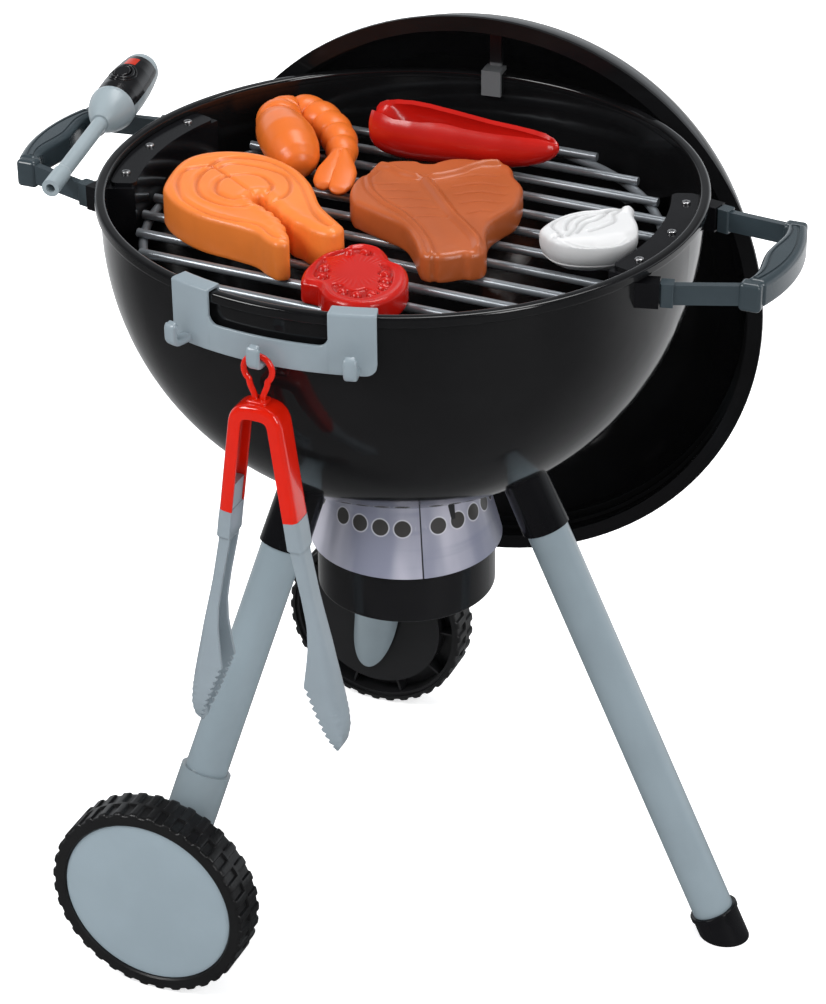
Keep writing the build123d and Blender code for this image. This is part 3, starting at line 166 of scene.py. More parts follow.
make_room()
floor_mesh = bpy.data.meshes.new("floor")
floor_corners = [(FLOOR_HALF * x, FLOOR_HALF * y, 0) for x, y in ((-1, -1), (1, -1), (1, 1), (-1, 1))]
floor_mesh.from_pydata(floor_corners, [], [(0, 1, 2, 3)])
floor = bpy.data.objects.new("floor", floor_mesh)
floor.location.z = -FLOOR_DROP
scene.collection.objects.link(floor)
lamp("key_lamp", (-1.3, -1.3, 1.9), (0, 0, 0.35), (0.9, 0.9), 26)
lamp("fill_lamp", (1.7, -0.9, 1.3), (0, 0, 0.3), (0.5, 1.2), 14)
lamp("top_lamp", (0.2, 0.7, 2.2), (0, 0, 0.4), (1.4, 0.8), 18)

# %% [markdown]
# Every finish is a small node tree. Two helpers keep the trees readable: Value lets a socket take part
# in ordinary sums, and Look adds a node in one call. Plastic is never one flat colour: moulding leaves
# a faint waviness, handling leaves duller patches, and each is a few percent of the whole.

# %% Shader helpers
class Value:
    """A shader socket that takes part in sums."""

    def __init__(self, look, socket):
        self.look, self.socket = look, socket

    def sum(self, kind, *others):
        node = self.look.add("ShaderNodeMath", {"operation": kind}, {})
        for place, item in enumerate((self,) + others):
            self.look.feed(node.inputs[place], item)
        return Value(self.look, node.outputs[0])

    def __add__(self, other):
        return self.sum("ADD", other)

    def __sub__(self, other):
        return self.sum("SUBTRACT", other)

    def __mul__(self, other):
        return self.sum("MULTIPLY", other)

    def __truediv__(self, other):
        return self.sum("DIVIDE", other)

    def __radd__(self, other):
        return self + other

    def __rmul__(self, other):
        return self * other

    def __rsub__(self, other):
        return self * -1 + other

    def step(self, start, end, low=0.0, high=1.0):
        """Smooth ramp from low to high as the value goes from start to end."""
        node = self.look.add("ShaderNodeMapRange", {"interpolation_type": "SMOOTHSTEP"}, {
            "Value": self, "From Min": start, "From Max": end, "To Min": low, "To Max": high})
        return Value(self.look, node.outputs[0])


class Look:
    """One material, with a Principled shader at its end."""

    def __init__(self, name, **inputs):
        self.material = bpy.data.materials.new(name)
        self.material.use_nodes = True
        self.tree = self.material.node_tree
        self.shader = self.tree.nodes["Principled BSDF"]
        self.spot = self.add("ShaderNodeTexCoord", {}, {}).outputs["Object"]
        for key, item in inputs.items():
            self.feed(self.shader.inputs[key.replace("_", " ")], item)

    def feed(self, socket, item):
        if isinstance(item, Value):
            item = item.socket
        if isinstance(item, bpy.types.NodeSocket):
            self.tree.links.new(item, socket)
        elif socket.type == "RGBA" and len(item) == 3:
            socket.default_value = (*item, 1)
        else:
            socket.default_value = item

    def add(self, kind, settings, inputs):
        node = self.tree.nodes.new(kind)
        for key, item in settings.items():
            setattr(node, key, item)
        for key, item in inputs.items():
            self.feed(node.inputs[key], item)
        return node

    def noise(self, scale, detail=3.0, rough=0.5, spot=None):
        node = self.add("ShaderNodeTexNoise", {}, {
            "Vector": spot or self.spot, "Scale": scale, "Detail": detail, "Roughness": rough})
        return Value(self, node.outputs[0])

    def axes(self):
        """Object coordinates as three values."""
        node = self.add("ShaderNodeSeparateXYZ", {}, {"Vector": self.spot})
        return [Value(self, node.outputs[place]) for place in range(3)]

    def blend(self, share, first, second):
        """Colour between two colours."""
        node = self.add("ShaderNodeMix", {"data_type": "RGBA"}, {})
        self.feed(node.inputs[0], share)
        self.feed(node.inputs[6], first)
        self.feed(node.inputs[7], second)
        return node.outputs[2]

    def bump(self, height, strength, distance=0.001):
        node = self.add("ShaderNodeBump", {}, {"Height": height, "Strength": strength, "Distance": distance})
        self.feed(self.shader.inputs["Normal"], node.outputs[0])

    def set(self, key, item):
        self.feed(self.shader.inputs[key], item)
        return self

# %% [markdown]
# All the pieces are moulded plastic, apart from the screws and the bright rods. They differ in colour, in how
# far the mould was polished, and in how much the surface waves, so one function makes every finish from those
# few numbers, and none of them is an image.

# %% Finishes
def plastic(name, colour, rough, spread=0.05, tone=0.06, wave=0.08, wave_scale=60, grain=0.0, coat=0.0,
            shade=0.0):
    """Moulded plastic: small drifts of tone and gloss, a faint waviness, and grain for a matt mould.

    shade paints shade into the colour: it darkens what a piece's own "hollow" attribute marks, such as the
    bottom of a groove."""
    look = Look(name)
    patches = look.noise(18, 4, 0.6)
    smears = look.noise(95, 5, 0.65)
    dark = tuple(c * (1 - tone) for c in colour)
    light = tuple(min(c * (1 + tone) + tone * 0.004, 1) for c in colour)
    paint = look.blend(patches.step(0.35, 0.65), dark, light)
    if shade:
        # Painted shade: the colour darkens where a point lies deep below the plain top, as in a groove.
        hollow = look.add("ShaderNodeAttribute", {"attribute_name": "hollow"}, {}).outputs["Fac"]
        deep = tuple(c * (1 - shade) ** (1.0 if c == max(colour) else 1.4) for c in colour)
        paint = look.blend(Value(look, hollow).step(0.0, 1.0), paint, deep)
    look.set("Base Color", paint)
    spread *= GLOSS_DRIFT
    gloss = patches * 0.6 + smears * 0.4
    look.set("Roughness", gloss.step(0.3, 0.7, max(rough - spread, 0.02), rough + spread))
    look.set("Coat Weight", coat)
    height = look.noise(wave_scale, 2, 0.4) * wave
    if grain:
        height = height + look.noise(GRAIN_SCALE, 2, 0.5) * grain
    look.bump(height, 0.35, 0.001)
    looks[name] = look


BLACK, GLOSS_DRIFT, GRAIN_SCALE = (0.0065, 0.0065, 0.007), 0.4, 900
looks = {}
plastic("bowl_black", BLACK, 0.11, 0.035, 0.1, 0.05, 30)
plastic("lid_black", BLACK, 0.11, 0.035, 0.1, 0.05, 24)
plastic("fitting_black", (0.006, 0.006, 0.007), 0.15, 0.04, 0.1, 0.03, 50, 0.02)
plastic("can_black", (0.007, 0.007, 0.008), 0.16, 0.04, 0.1, 0.04, 40)
plastic("wheel_black", (0.012, 0.012, 0.013), 0.3, 0.06)
plastic("tyre_black", (0.008, 0.008, 0.0085), 0.36, 0.08, 0.15, 0.1, 90, 0.2)
plastic("cap_grey", (0.3, 0.37, 0.412), 0.38, 0.05, 0.03, 0.03, 30, 0.05)
plastic("tube_grey", (0.27, 0.332, 0.368), 0.3, 0.04, 0.03, 0.01, 30, coat=0.6)
plastic("sleeve_grey", (0.25, 0.305, 0.335), 0.32, 0.04, 0.04, 0.02, 40, coat=0.4)
plastic("rack_grey", (0.26, 0.312, 0.345), 0.3, 0.04, 0.04, 0.02, 40, coat=0.4)
plastic("handle_grey", (0.038, 0.053, 0.062), 0.26, 0.05, 0.08, 0.03, 40, 0.03, coat=0.3)
plastic("rod_silver", (0.31, 0.335, 0.36), 0.29, 0.01, 0.08, 0.0, 60)
plastic("screw_steel", (0.55, 0.55, 0.56), 0.28, 0.06, 0.05)
plastic("band_silver", (0.45, 0.44, 0.5), 0.35, 0.06, 0.05)
plastic("tongs_red", (0.7, 0.012, 0.002), 0.14, 0.05, 0.05, 0.03, 40, coat=0.8)
plastic("tongs_grey", (0.275, 0.325, 0.36), 0.3, 0.04, 0.04, 0.02, 40, coat=0.5)
plastic("lighter_black", (0.008, 0.008, 0.009), 0.16, 0.04)
plastic("lighter_grey", (0.3, 0.355, 0.38), 0.3, 0.05, 0.04)
plastic("button_black", (0.008, 0.008, 0.009), 0.12, 0.03)
plastic("hook_grey", (0.16, 0.165, 0.17), 0.3, 0.05)
plastic("damper_grey", (0.24, 0.28, 0.3), 0.36, 0.05)
plastic("salmon_orange", (0.84, 0.215, 0.036), 0.33, 0.05, 0.05, 0.12, 60, 0.06, shade=0.2)
plastic("shrimp_orange", (0.75, 0.16, 0.02), 0.33, 0.05, 0.05, 0.12, 60, 0.06)
plastic("steak_brown", (0.43, 0.097, 0.025), 0.3, 0.05, 0.06, 0.12, 60, 0.06, shade=0.15)
plastic("tomato_red", (0.5, 0.008, 0.0035), 0.24, 0.05, 0.06, 0.06, 70, shade=0.2)
plastic("pepper_red", (0.47, 0.009, 0.005), 0.23, 0.05, 0.06, 0.06, 60)
plastic("onion_white", (0.7, 0.7, 0.7), 0.32, 0.05, 0.02, 0.05, 60, shade=0.16)
looks["screw_steel"].set("Metallic", 1.0)
looks["lid_black"].set("Specular IOR Level", 0.1)
looks["fitting_black"].set("Specular IOR Level", 0.22)
looks["rod_silver"].set("Metallic", 0.6)
# The hook is grey up to the rim and near black above it, where its strip lies inside the lid.
hook = looks["hook_grey"]
above_rim = hook.axes()[2].step(0.4515, 0.453)
hook.set("Base Color", hook.blend(above_rim, (0.16, 0.165, 0.17), (0.012, 0.012, 0.013)))
print("finishes", len(looks))

# %% [markdown]
# The floor is pale, keeps the shadow close to the feet and fades to the white of the room further out. To
# reflections it is white behind the toy and dark in front, like the room, so the black parts stay black.

# %% Floor finish
floor_look = Look("floor_white", Roughness=0.6)
pale = floor_look.blend(floor_look.noise(2.5), (0.93, 0.93, 0.93), (0.96, 0.96, 0.96))
mirrored_share = floor_look.add("ShaderNodeLightPath", {}, {}).outputs["Is Glossy Ray"]
east, north, _ = floor_look.axes()
behind = north.step(-0.1, 0.9, 0.08, 0.9)
far = (east * east + north * north).sum("SQRT").step(0.4, 1.1, 0.62, 1.0)
seen_directly = Value(floor_look, floor_look.add("ShaderNodeLightPath", {}, {}).outputs["Is Camera Ray"])
floor_look.set("Emission Strength", 1.0)
floor_look.set("Emission Color", floor_look.blend(far * seen_directly, (0, 0, 0), (1, 1, 1)))
seen_in_gloss = floor_look.blend(behind, (0, 0, 0), (1, 1, 1))
floor_look.set("Base Color", floor_look.blend(mirrored_share, pale, seen_in_gloss))
floor_look.bump(floor_look.noise(300), 0.02)
floor.data.materials.append(floor_look.material)
slot_of = {row["node"]: row["material_slot"] for row in frame["record"]["subparts"]}
for node_name, packed in nodes.items():
    for material_slot in packed.material_slots:
        material_slot.material = looks[slot_of[node_name]].material
print("looks", len(looks))

# %% [markdown]
# Every form here is worked out as plain points and faces in millimetres, and becomes a mesh at the end, with
# its doubles merged and its normals turned outwards. Corners are eased while they are still a line, because
# no moulded edge is sharp and the eye finds the highlight that a rounded edge gives.

# %% Pieces and corners
def piece(name, points, faces, slot, body, replaced=(), flat=35, hollow=None):
    """Mesh piece from points in millimetres, with its finish, its body and the nodes that it stands for."""
    mesh = bpy.data.meshes.new(name)
    spots = [tuple(MM * float(v) for v in point) for point in points]
    mesh.from_pydata(spots, [], [tuple(face) for face in faces])
    if hollow is not None:
        marks = mesh.attributes.new("hollow", "FLOAT", "POINT").data
        marks.foreach_set("value", np.array(hollow, np.float32))
    work = bmesh.new()
    work.from_mesh(mesh)
    bmesh.ops.remove_doubles(work, verts=work.verts, dist=1e-7)
    bmesh.ops.recalc_face_normals(work, faces=work.faces)
    work.to_mesh(mesh)
    work.free()
    mesh.shade_smooth()
    mesh.set_sharp_from_angle(angle=math.radians(flat))
    mesh.materials.append(looks[slot].material)
    made = bpy.data.objects.new(name, mesh)
    scene.collection.objects.link(made)
    if replaced:
        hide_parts(*replaced)
    if body:
        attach(made, body)
    print(name, len(mesh.polygons))
    return made


def join(*parts):
    """Several (points, faces) as one."""
    points, faces = [], []
    for more, sides in parts:
        base = len(points)
        points += [tuple(point) for point in more]
        faces += [tuple(base + place for place in side) for side in sides]
    return points, faces


def placed(part, matrix):
    """(points, faces) moved by a matrix."""
    return [matrix @ Vector(point) for point in part[0]], part[1]


def eased(points, radius, steps=6, closed=True):
    """Polyline with its corners rounded; radius is one size or one for each corner."""
    sizes = radius if isinstance(radius, (list, tuple)) else [radius] * len(points)
    made = []
    for place, (corner, size) in enumerate(zip(points, sizes)):
        corner = Vector(corner)
        if size <= 0 or (not closed and place in (0, len(points) - 1)):
            made.append(tuple(corner))
            continue
        before = Vector(points[place - 1]) - corner
        after = Vector(points[(place + 1) % len(points)]) - corner
        half = max(before.angle(after, 3.0) / 2, 0.05)
        run = min(size / math.tan(half), before.length * 0.48, after.length * 0.48)
        start, end = corner + before.normalized() * run, corner + after.normalized() * run
        for step in range(steps + 1):
            share = step / steps
            rest = 1 - share
            made.append(tuple(start * rest ** 2 + corner * 2 * share * rest + end * share ** 2))
    return made


def eased_flat(corners, radius, steps=6, closed=True):
    """Flat polyline with its corners rounded."""
    return [point[:2] for point in eased([(x, y, 0) for x, y in corners], radius, steps, closed)]


def flowing(points, steps=8, closed=True):
    """Smooth curve through points, as a dense polyline."""
    count = len(points)
    made = []
    for place in range(count if closed else count - 1):
        four = range(place - 1, place + 3)
        four = [k % count if closed else min(max(k, 0), count - 1) for k in four]
        a, b, c, d = [Vector(points[k]) for k in four]
        square, cube = 2 * a - 5 * b + 4 * c - d, 3 * b - a - 3 * c + d
        for step in range(steps):
            t = step / steps
            made.append(tuple(0.5 * (2 * b + (c - a) * t + square * t ** 2 + cube * t ** 3)))
    if not closed:
        made.append(tuple(points[-1]))
    return made

# %% [markdown]
# Three ways of making a surface share one idea: rings with the same number of points, and faces between
# neighbours. A turned form spins a profile about an axis, a swept form carries a section along a path, and a
# slab lifts a plan outline and rounds its edges. Curve objects could do the sweeps, but rings worked out here
# can also change their section on the way.

# %% Turned, swept and slab forms
def skin(rings, closed=True):
    """Faces between rings of equal length; the ends are capped unless the rings close on themselves."""
    count = len(rings[0])
    points = [point for ring in rings for point in ring]
    faces = []
    pairs = len(rings) if closed else len(rings) - 1
    for row in range(pairs):
        a, b = row * count, ((row + 1) % len(rings)) * count
        faces += [(a + k, a + (k + 1) % count, b + (k + 1) % count, b + k) for k in range(count)]
    if not closed:
        faces += [tuple(range(count)), tuple(range(len(points) - count, len(points)))]
    return points, faces


def turned(profile, count):
    """Ring made by spinning a closed profile of (radius, height) about Z."""
    return skin([[(x, y, height) for x, y in circle(radius, count)] for radius, height in profile])


def swept(path, section, closed=False):
    """Section of (across, up) points, or a function of place giving one, carried along a path."""
    path = [Vector(point) for point in path]
    rings, across = [], None
    for place, spot in enumerate(path):
        before = path[place - 1] if place or closed else spot
        after = path[(place + 1) % len(path)] if place < len(path) - 1 or closed else spot
        ahead = (after - before).normalized()
        if across is None:
            across = ahead.cross(Vector((0, 0, 1)))
            across = across.normalized() if across.length > 0.1 else Vector((1, 0, 0))
        across = (across - ahead * across.dot(ahead)).normalized()
        upward = across.cross(ahead)
        shape = section(place / max(len(path) - 1, 1)) if callable(section) else section
        rings.append([spot + across * a + upward * b for a, b in shape])
    return skin(rings, closed)


def circle(radius, count=24, squash=1.0):
    """Round section, or an oval one."""
    turns = [2 * math.pi * k / count for k in range(count)]
    return [(radius * math.cos(turn), squash * radius * math.sin(turn)) for turn in turns]


def inset(outline, distance):
    """Closed outline moved inwards along its normals."""
    ring = np.array([point[:2] for point in outline], float)
    ahead = np.roll(ring, -1, 0) - np.roll(ring, 1, 0)
    ahead /= np.maximum(np.linalg.norm(ahead, axis=1), 1e-9)[:, None]
    area = np.sum(ring[:, 0] * np.roll(ring[:, 1], -1) - np.roll(ring[:, 0], -1) * ring[:, 1])
    normal = np.stack([-ahead[:, 1], ahead[:, 0]], 1) * (1 if area > 0 else -1)
    return ring + normal * distance


def slab(outline, low, high, edge, steps=5):
    """Plan outline lifted from low to high, with rounded top and bottom edges."""
    turns = [math.pi / 2 * (step / steps) for step in range(steps + 1)]
    pulls = [(edge * (1 - math.sin(turn)), edge * (1 - math.cos(turn))) for turn in turns]
    rings = [[(x, y, low + climb) for x, y in inset(outline, pull)] for pull, climb in pulls]
    rings += [[(x, y, high - climb) for x, y in inset(outline, pull)] for pull, climb in reversed(pulls)]
    return skin(rings, False)

# %% [markdown]
# A relief starts as a slab does, but its top may rise and fall. The outline is filled with a fine net of
# triangles, closer together near the edge, and each point gets its own height from a rule that is given.
# How deep a point lies under the plain top is kept as an attribute, so the finish can paint shade into a
# groove.

# %% Reliefs
# How far the wall of a relief draws in at its foot.
FOOT = 1.2


def reach_to(places, line, closed=True):
    """Distance of each place from a polyline."""
    ends = np.array([point[:2] for point in line], float)
    starts = np.roll(ends, 1, 0) if closed else ends[:-1]
    ends = ends if closed else ends[1:]
    best = np.full(len(places), 1e9)
    for a, b in zip(starts, ends):
        run = b - a
        share = np.clip(((places - a) @ run) / max(run @ run, 1e-9), 0, 1)
        best = np.minimum(best, np.linalg.norm(places - a - share[:, None] * run, axis=1))
    return best


def within(places, line):
    """True for each place inside a closed line."""
    ends = np.array([point[:2] for point in line], float)
    found = np.zeros(len(places), bool)
    for (ax, ay), (bx, by) in zip(np.roll(ends, 1, 0), ends):
        crosses = (ay > places[:, 1]) != (by > places[:, 1])
        with np.errstate(divide="ignore", invalid="ignore"):
            found ^= crosses & (places[:, 0] < (bx - ax) * (places[:, 1] - ay) / (by - ay) + ax)
    return found


def relief(outline, low, high, edge, rise, cell, sides=None):
    """Solid on a plan outline. rise(places, depth) adds to a top that rounds over at the edge.

    sides are (height, pull) down the wall, where pull is how far the outline moves inwards there."""
    if not sides:
        sides = ((low + FOOT * 2, 0), (low + FOOT, 0), (low + FOOT * 0.3, FOOT * 0.3), (low, FOOT))
    ring = np.array([point[:2] for point in outline], float)
    lowest, highest = ring.min(0), ring.max(0)
    xs, ys = np.meshgrid(np.arange(lowest[0], highest[0], cell), np.arange(lowest[1], highest[1], cell))
    inner = np.stack([xs.ravel() + (np.arange(xs.size) // xs.shape[1] % 2) * cell / 2, ys.ravel()], 1)
    for share in (0.06, 0.2, 0.42, 0.7):
        inner = np.vstack([inset(outline, edge * share), inner])
    inner = inner[within(inner, outline)]
    inner = inner[reach_to(inner, outline) > edge * 0.055]
    count = len(ring)
    spots = [Vector(point) for point in np.vstack([ring, inner])]
    loop = [(k, (k + 1) % count) for k in range(count)]
    flat, _, triangles, origin, _, _ = delaunay_2d_cdt(spots, loop, [], 1, 1e-5)
    flat = np.array([tuple(point) for point in flat])
    depth = reach_to(flat, outline)
    depth[[k for k, source in enumerate(origin) if any(s < count for s in source)]] = 0
    fall = edge - np.sqrt(np.maximum(edge ** 2 - np.maximum(edge - depth, 0) ** 2, 0))
    detail = rise(flat, depth) * np.clip(depth / edge, 0, 1)
    top = high - fall + detail
    points = [(x, y, z) for (x, y), z in zip(flat, top)]
    rim = [None] * count
    for k, source in enumerate(origin):
        for s in source:
            if s < count:
                rim[s] = k
    faces = [tuple(side) for side in triangles]
    last = rim
    for height, pull in sides:
        base = len(points)
        points += [(x, y, height) for x, y in inset(outline, pull)]
        fresh = list(range(base, base + count))
        faces += [(last[k], last[(k + 1) % count], fresh[(k + 1) % count], fresh[k]) for k in range(count)]
        last = fresh
    faces.append(tuple(last))
    # Depth below the plain top, which the finish turns into painted shade.
    hollow = np.zeros(len(points))
    hollow[:len(detail)] = np.clip(-detail, 0, 1)
    return points, faces, hollow


def groove(places, line, wide, deep, closed=False):
    """Soft-edged groove, or with a negative depth a ridge, along a line."""
    share = np.clip(reach_to(places, line, closed) / wide, 0, 1)
    return -deep * (1 - share ** 2) ** 2

# %% [markdown]
# The play food is hollow moulded plastic. Four pieces are slices: an outline seen from above, a wall that
# stands almost upright, and a top whose lines are pressed in by the mould. A boolean cut for each line
# would leave hard edges, so the top is a height field instead: a mesh of small triangles whose height is
# the sum of a rounded edge, soft grooves along lines, ridges and basins.

# %% Food helpers
grate_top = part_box("cooking_grate")[1][2] / MM
food_low = grate_top + 0.3


def basin(places, line, deep, soft):
    """Hollow inside a closed line, with sloping sides."""
    share = np.clip(reach_to(places, line) * within(places, line) / soft, 0, 1)
    return -deep * share ** 2 * (3 - 2 * share)


def bead(places, spot, radius, high):
    """Round bump at a spot."""
    away = np.linalg.norm(places - np.array(spot), axis=1)
    return high * np.sqrt(np.clip(1 - (away / radius) ** 2, 0, 1))


def beside(line, distance):
    """Open line moved sideways."""
    run = np.array(line, float)
    ahead = np.gradient(run, axis=0)
    ahead /= np.linalg.norm(ahead, axis=1)[:, None]
    return run + np.stack([-ahead[:, 1], ahead[:, 0]], 1) * distance


# %% [markdown]
# The salmon steak is cut across the fish. A border follows the skin, and rings of flesh lie inside it. The
# rings could be separate bands, but on the toy they are only pressed lines, so each is a groove along a
# smooth curve, and two of them have a low swell beside them.

# %% Salmon steak
salmon_line = [
    (-121.5, -43.5), (-126.1, -16), (-120.5, -0.6), (-107.6, 8.3), (-91.1, 11.2), (-76.3, 7.7),
    (-60.8, -1), (-46.6, -15.3), (-33.2, -34.9), (-23.4, -45), (-12.5, -54.5), (-8, -59.5),
    (-8.5, -67.5), (-14, -70.6), (-24, -68.0), (-30, -64.2), (-36.5, -61.9), (-41.5, -57.8),
    (-47.5, -54.2), (-52.5, -49.2), (-58.5, -45.6), (-62.5, -40.3), (-67, -38.9), (-68.6, -43.9),
    (-63.5, -48.4), (-57.5, -51.2), (-54.4, -54.3), (-50.2, -55.6), (-47.6, -59.2), (-43.6, -61.3),
    (-41.2, -65.2), (-37.4, -68.3), (-35.6, -72.6), (-31.9, -76.8), (-28.9, -82.4), (-27.1, -88.0),
    (-32.5, -91.4), (-40.5, -87.4), (-49.9, -81.2), (-65.9, -77.7), (-83.9, -74.5), (-101.7, -66),
    (-114.7, -55.2)]
salmon_borders = [
    [(-29.8, -83.2), (-34.6, -84.6), (-40.4, -81.6), (-47.5, -75.9), (-54.5, -73.6), (-66.6, -73.3),
     (-79.4, -71.6), (-91.8, -66.1), (-103.3, -58.4), (-112.2, -45.9), (-116.1, -36.6), (-118.1, -27.3),
     (-115.2, -20.6), (-107.7, -14.5)],
    [(-107.7, -14.5), (-106.2, -5.2), (-98, 0.6), (-83.5, 2.6), (-68.4, -3.2), (-52.1, -18.2),
     (-39.3, -36.2), (-29.4, -49.8), (-21.7, -57), (-15.0, -61.6)]]
salmon_rings = [
    [(-104.9, -16.5), (-107, -20.1), (-106.6, -30.9), (-102.1, -42.7), (-95.3, -51.6), (-88.5, -56),
     (-79.7, -58.6), (-72.3, -58.3), (-63.9, -54), (-59.2, -51.3)],
    [(-102, -15.3), (-100.3, -10), (-94.2, -6.6), (-78.7, -6.9), (-65.4, -10.8), (-57.9, -18.7),
     (-53.7, -27.8), (-52.7, -36.3), (-55.5, -45)],
    [(-92.4, -23.6), (-94.5, -30.6), (-92.5, -38.9), (-88.5, -45.3), (-83.1, -48.5), (-77.9, -49.9),
     (-71.6, -47.4), (-68.8, -43.7)],
    [(-91.4, -22.1), (-83.1, -16.9), (-75.2, -17.4), (-66.8, -24), (-63.7, -29.1), (-63, -36),
     (-65, -39.5)]]
salmon_spoke = [
    (-107.7, -13.9), (-98.8, -19.5), (-89.5, -25.9), (-80.4, -32.2), (-73.3, -37.4), (-68.6, -41.5)]


def salmon_rise(at, depth):
    rise = 0.7 * np.exp(-((depth - 5.5) / 2.4) ** 2)
    for line in salmon_borders:
        rise += groove(at, flowing(line, 4, False), 2.3, 1.35)
    for line in salmon_rings:
        rise += groove(at, flowing(line, 4, False), 1.9, 1.05)
    for line in (salmon_rings[0], salmon_rings[2]):
        rise += groove(at, beside(flowing(line, 4, False), -2.6), 2.2, -0.45)
    heart = salmon_rings[2][::-1] + salmon_rings[3]
    rise -= basin(at, heart, 0.5, 3.0)
    return rise + groove(at, salmon_spoke, 1.5, 1.1)


salmon_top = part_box("salmon_steak")[1][2] / MM
salmon_form = relief(flowing(salmon_line, 5), food_low, salmon_top, 3.4, salmon_rise, 0.75)
piece("salmon_slice", *salmon_form[:2], "salmon_orange", "salmon", ["salmon_steak"], hollow=salmon_form[2])

# %% [markdown]
# The steak's bone stands up as a ridge that forks at one end. Adding three ridges would pile up a lump where
# they meet, so the highest of them counts at each point. A shallow basin on each side gives the meat its
# soft middle, and faint grooves give it grain.

# %% Steak on the bone
steak_line = [
    (-23, -15), (-29.5, -4), (-32.5, 8), (-32.3, 17), (-29.8, 22.2), (-31.0, 27), (-29, 35), (-24, 42),
    (-12, 47), (-7, 46.2), (-3, 46.8), (0.7, 52), (6, 57.5), (16, 60.6), (34.5, 61.6), (41, 57.5),
    (46, 48), (54.5, 38), (58, 27.7), (60.6, 12.3), (57.8, -0.5), (56, -11.7), (58.4, -24.5), (65, -41),
    (65.8, -48.5), (61.5, -53.6), (57.0, -54.6), (52.0, -59.3), (47.4, -62.4), (44.2, -62.2),
    (41.6, -63.9), (36.6, -62.2), (31.5, -55), (25.4, -45.6), (14, -32.5), (-5, -24), (-17, -18.8)]
steak_border = [
    (-27.0, 24.0), (-27.4, 16.5), (-24.9, 10), (-18.4, 0), (-6.1, -11.5), (7.9, -20.1), (21.6, -32.6),
    (32.9, -45.7), (39.9, -56.4), (43.8, -64)]
steak_bars = [
    [(-28.6, 31.4), (-20, 31), (-11.7, 26.2), (-4.2, 24.8), (1.9, 25.6)],
    [(1.9, 25.6), (8.8, 30.8), (15.8, 39), (19.5, 46.8), (24.8, 54.4), (31.8, 58.1)]]
steak_stem = [
    (1.9, 25.6), (12.9, 12.6), (23.1, 0.2), (34.6, -13.4), (47.4, -26.2), (57.8, -37.6), (63.0, -47)]
steak_lobes = [
    [(-24, 23), (-10, 20), (0, 19), (16, 2), (34, -20), (54, -42), (56, -50), (44, -57), (34, -44),
     (22, -30), (8, -17), (-6, -8), (-18, 3), (-24, 12)],
    [(9, 24), (16, 34), (22, 46), (30, 53), (38, 52), (50, 34), (55, 14), (51, -4), (53, -22), (58, -34),
     (44, -19), (28, 0), (16, 14)]]
steak_grain = [
    [(-20.4, 8.6), (-8.6, 14.4), (-2.3, 15.9)],
    [(-14, 1.6), (-4, 6.6), (5, 8.5)],
    [(-6, -6), (4, -1.5), (15, 0)],
    [(4, -15), (14, -9.5), (24, -8.8)],
    [(14, -25), (22, -19), (33, -17.5)],
    [(20.6, 20.9), (32.1, 30.7), (46.6, 31.5)],
    [(26, 12), (36, 20.5), (50, 21.5)],
    [(33, 3.5), (42, 10), (52, 11)],
    [(41, -7), (47, -1.5), (51.5, -1)],
    [(17, 30), (26, 40), (38, 43)]]


def steak_rise(at, depth):
    border = flowing(steak_border, 4, False)
    rise = groove(at, border, 4.2, 1.2)
    for line in steak_lobes:
        rise += basin(at, line, 0.3, 8.0)
    for line in steak_grain:
        rise += groove(at, flowing(line, 3, False), 2.0, 0.24)
    ridges = groove(at, border, 2.4, -2.0)
    for line in steak_bars + [steak_stem]:
        run = flowing(line, 4, False)
        rise += groove(at, run, 5.0, 0.9)
        ridges = np.maximum(ridges, groove(at, run, 4.2, -3.5))
    rise += groove(at, [(-12.6, 47.2), (-7, 44.4), (-1, 46.4)], 2.2, 1.0)
    return rise + ridges


steak_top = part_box("tbone_steak")[1][2] / MM - 1.6
steak_form = relief(flowing(steak_line, 5), food_low, steak_top, 3.8, steak_rise, 0.75)
piece("steak_slice", *steak_form[:2], "steak_brown", "tbone", ["tbone_steak"], hollow=steak_form[2])

# %% [markdown]
# The tomato slice has four pockets with seeds in them. Its net of triangles is the finest of the four,
# because its details are the smallest. A ripple round the heart, under a tenth of a millimetre high, stands
# for the fibres.

# %% Tomato slice
tomato_line = [
    (-9.6, -109.6), (-12.6, -103), (-14.4, -93), (-13.4, -76.5), (-6.4, -66.4), (-4.6, -60.6), (2, -56),
    (11, -57), (17.5, -62.5), (22.5, -68.6), (32, -73.5), (39, -84), (42.5, -97), (41, -111),
    (34, -121.5), (23, -125.5), (12.5, -123), (5.5, -117.5), (0.8, -111.8), (-4, -110.4)]
tomato_pockets = [
    [(-9.2, -96.4), (-11.2, -85.9), (-10.3, -79.6), (-6.4, -83.8), (-4.7, -88.0), (-2.0, -90.6),
     (0.6, -93.8), (-0.4, -96.4), (2.6, -99.4), (1.8, -103.4), (-2.5, -104.6), (-7.1, -101.2)],
    [(-10.0, -79), (-7.6, -71.8), (-1.8, -63.9), (5.2, -61.1), (11.4, -64.5), (12.5, -68.6),
     (8.2, -69.9), (4.4, -68.9), (0, -70.5), (-3.0, -73.4), (-6.6, -76.6)],
    [(18.5, -75.6), (24.1, -75.2), (29.6, -80.3), (33.4, -89.2), (35.2, -97.1), (34.4, -104.8),
     (29.6, -103.3), (29.2, -98.6), (25.6, -94.9), (26.2, -89.9), (21.9, -86.4), (22.3, -81.7)],
    [(5.6, -107.4), (8.6, -104.4), (12.7, -105.5), (15.4, -108.4), (20, -107.9), (23.6, -104),
     (28.2, -105.4), (33.6, -106.1), (31.9, -111.4), (26.4, -117.0), (18, -117.2), (10.6, -114.0)]]
tomato_seeds = [
    (-5.9, -90.4), (-2.8, -99.8), (14.3, -112.4), (22.6, -113.0), (29.4, -109.0), (31.8, -99.4),
    (26.4, -85.4), (29.8, -92.2), (6.4, -65.4), (-0.2, -70.2)]
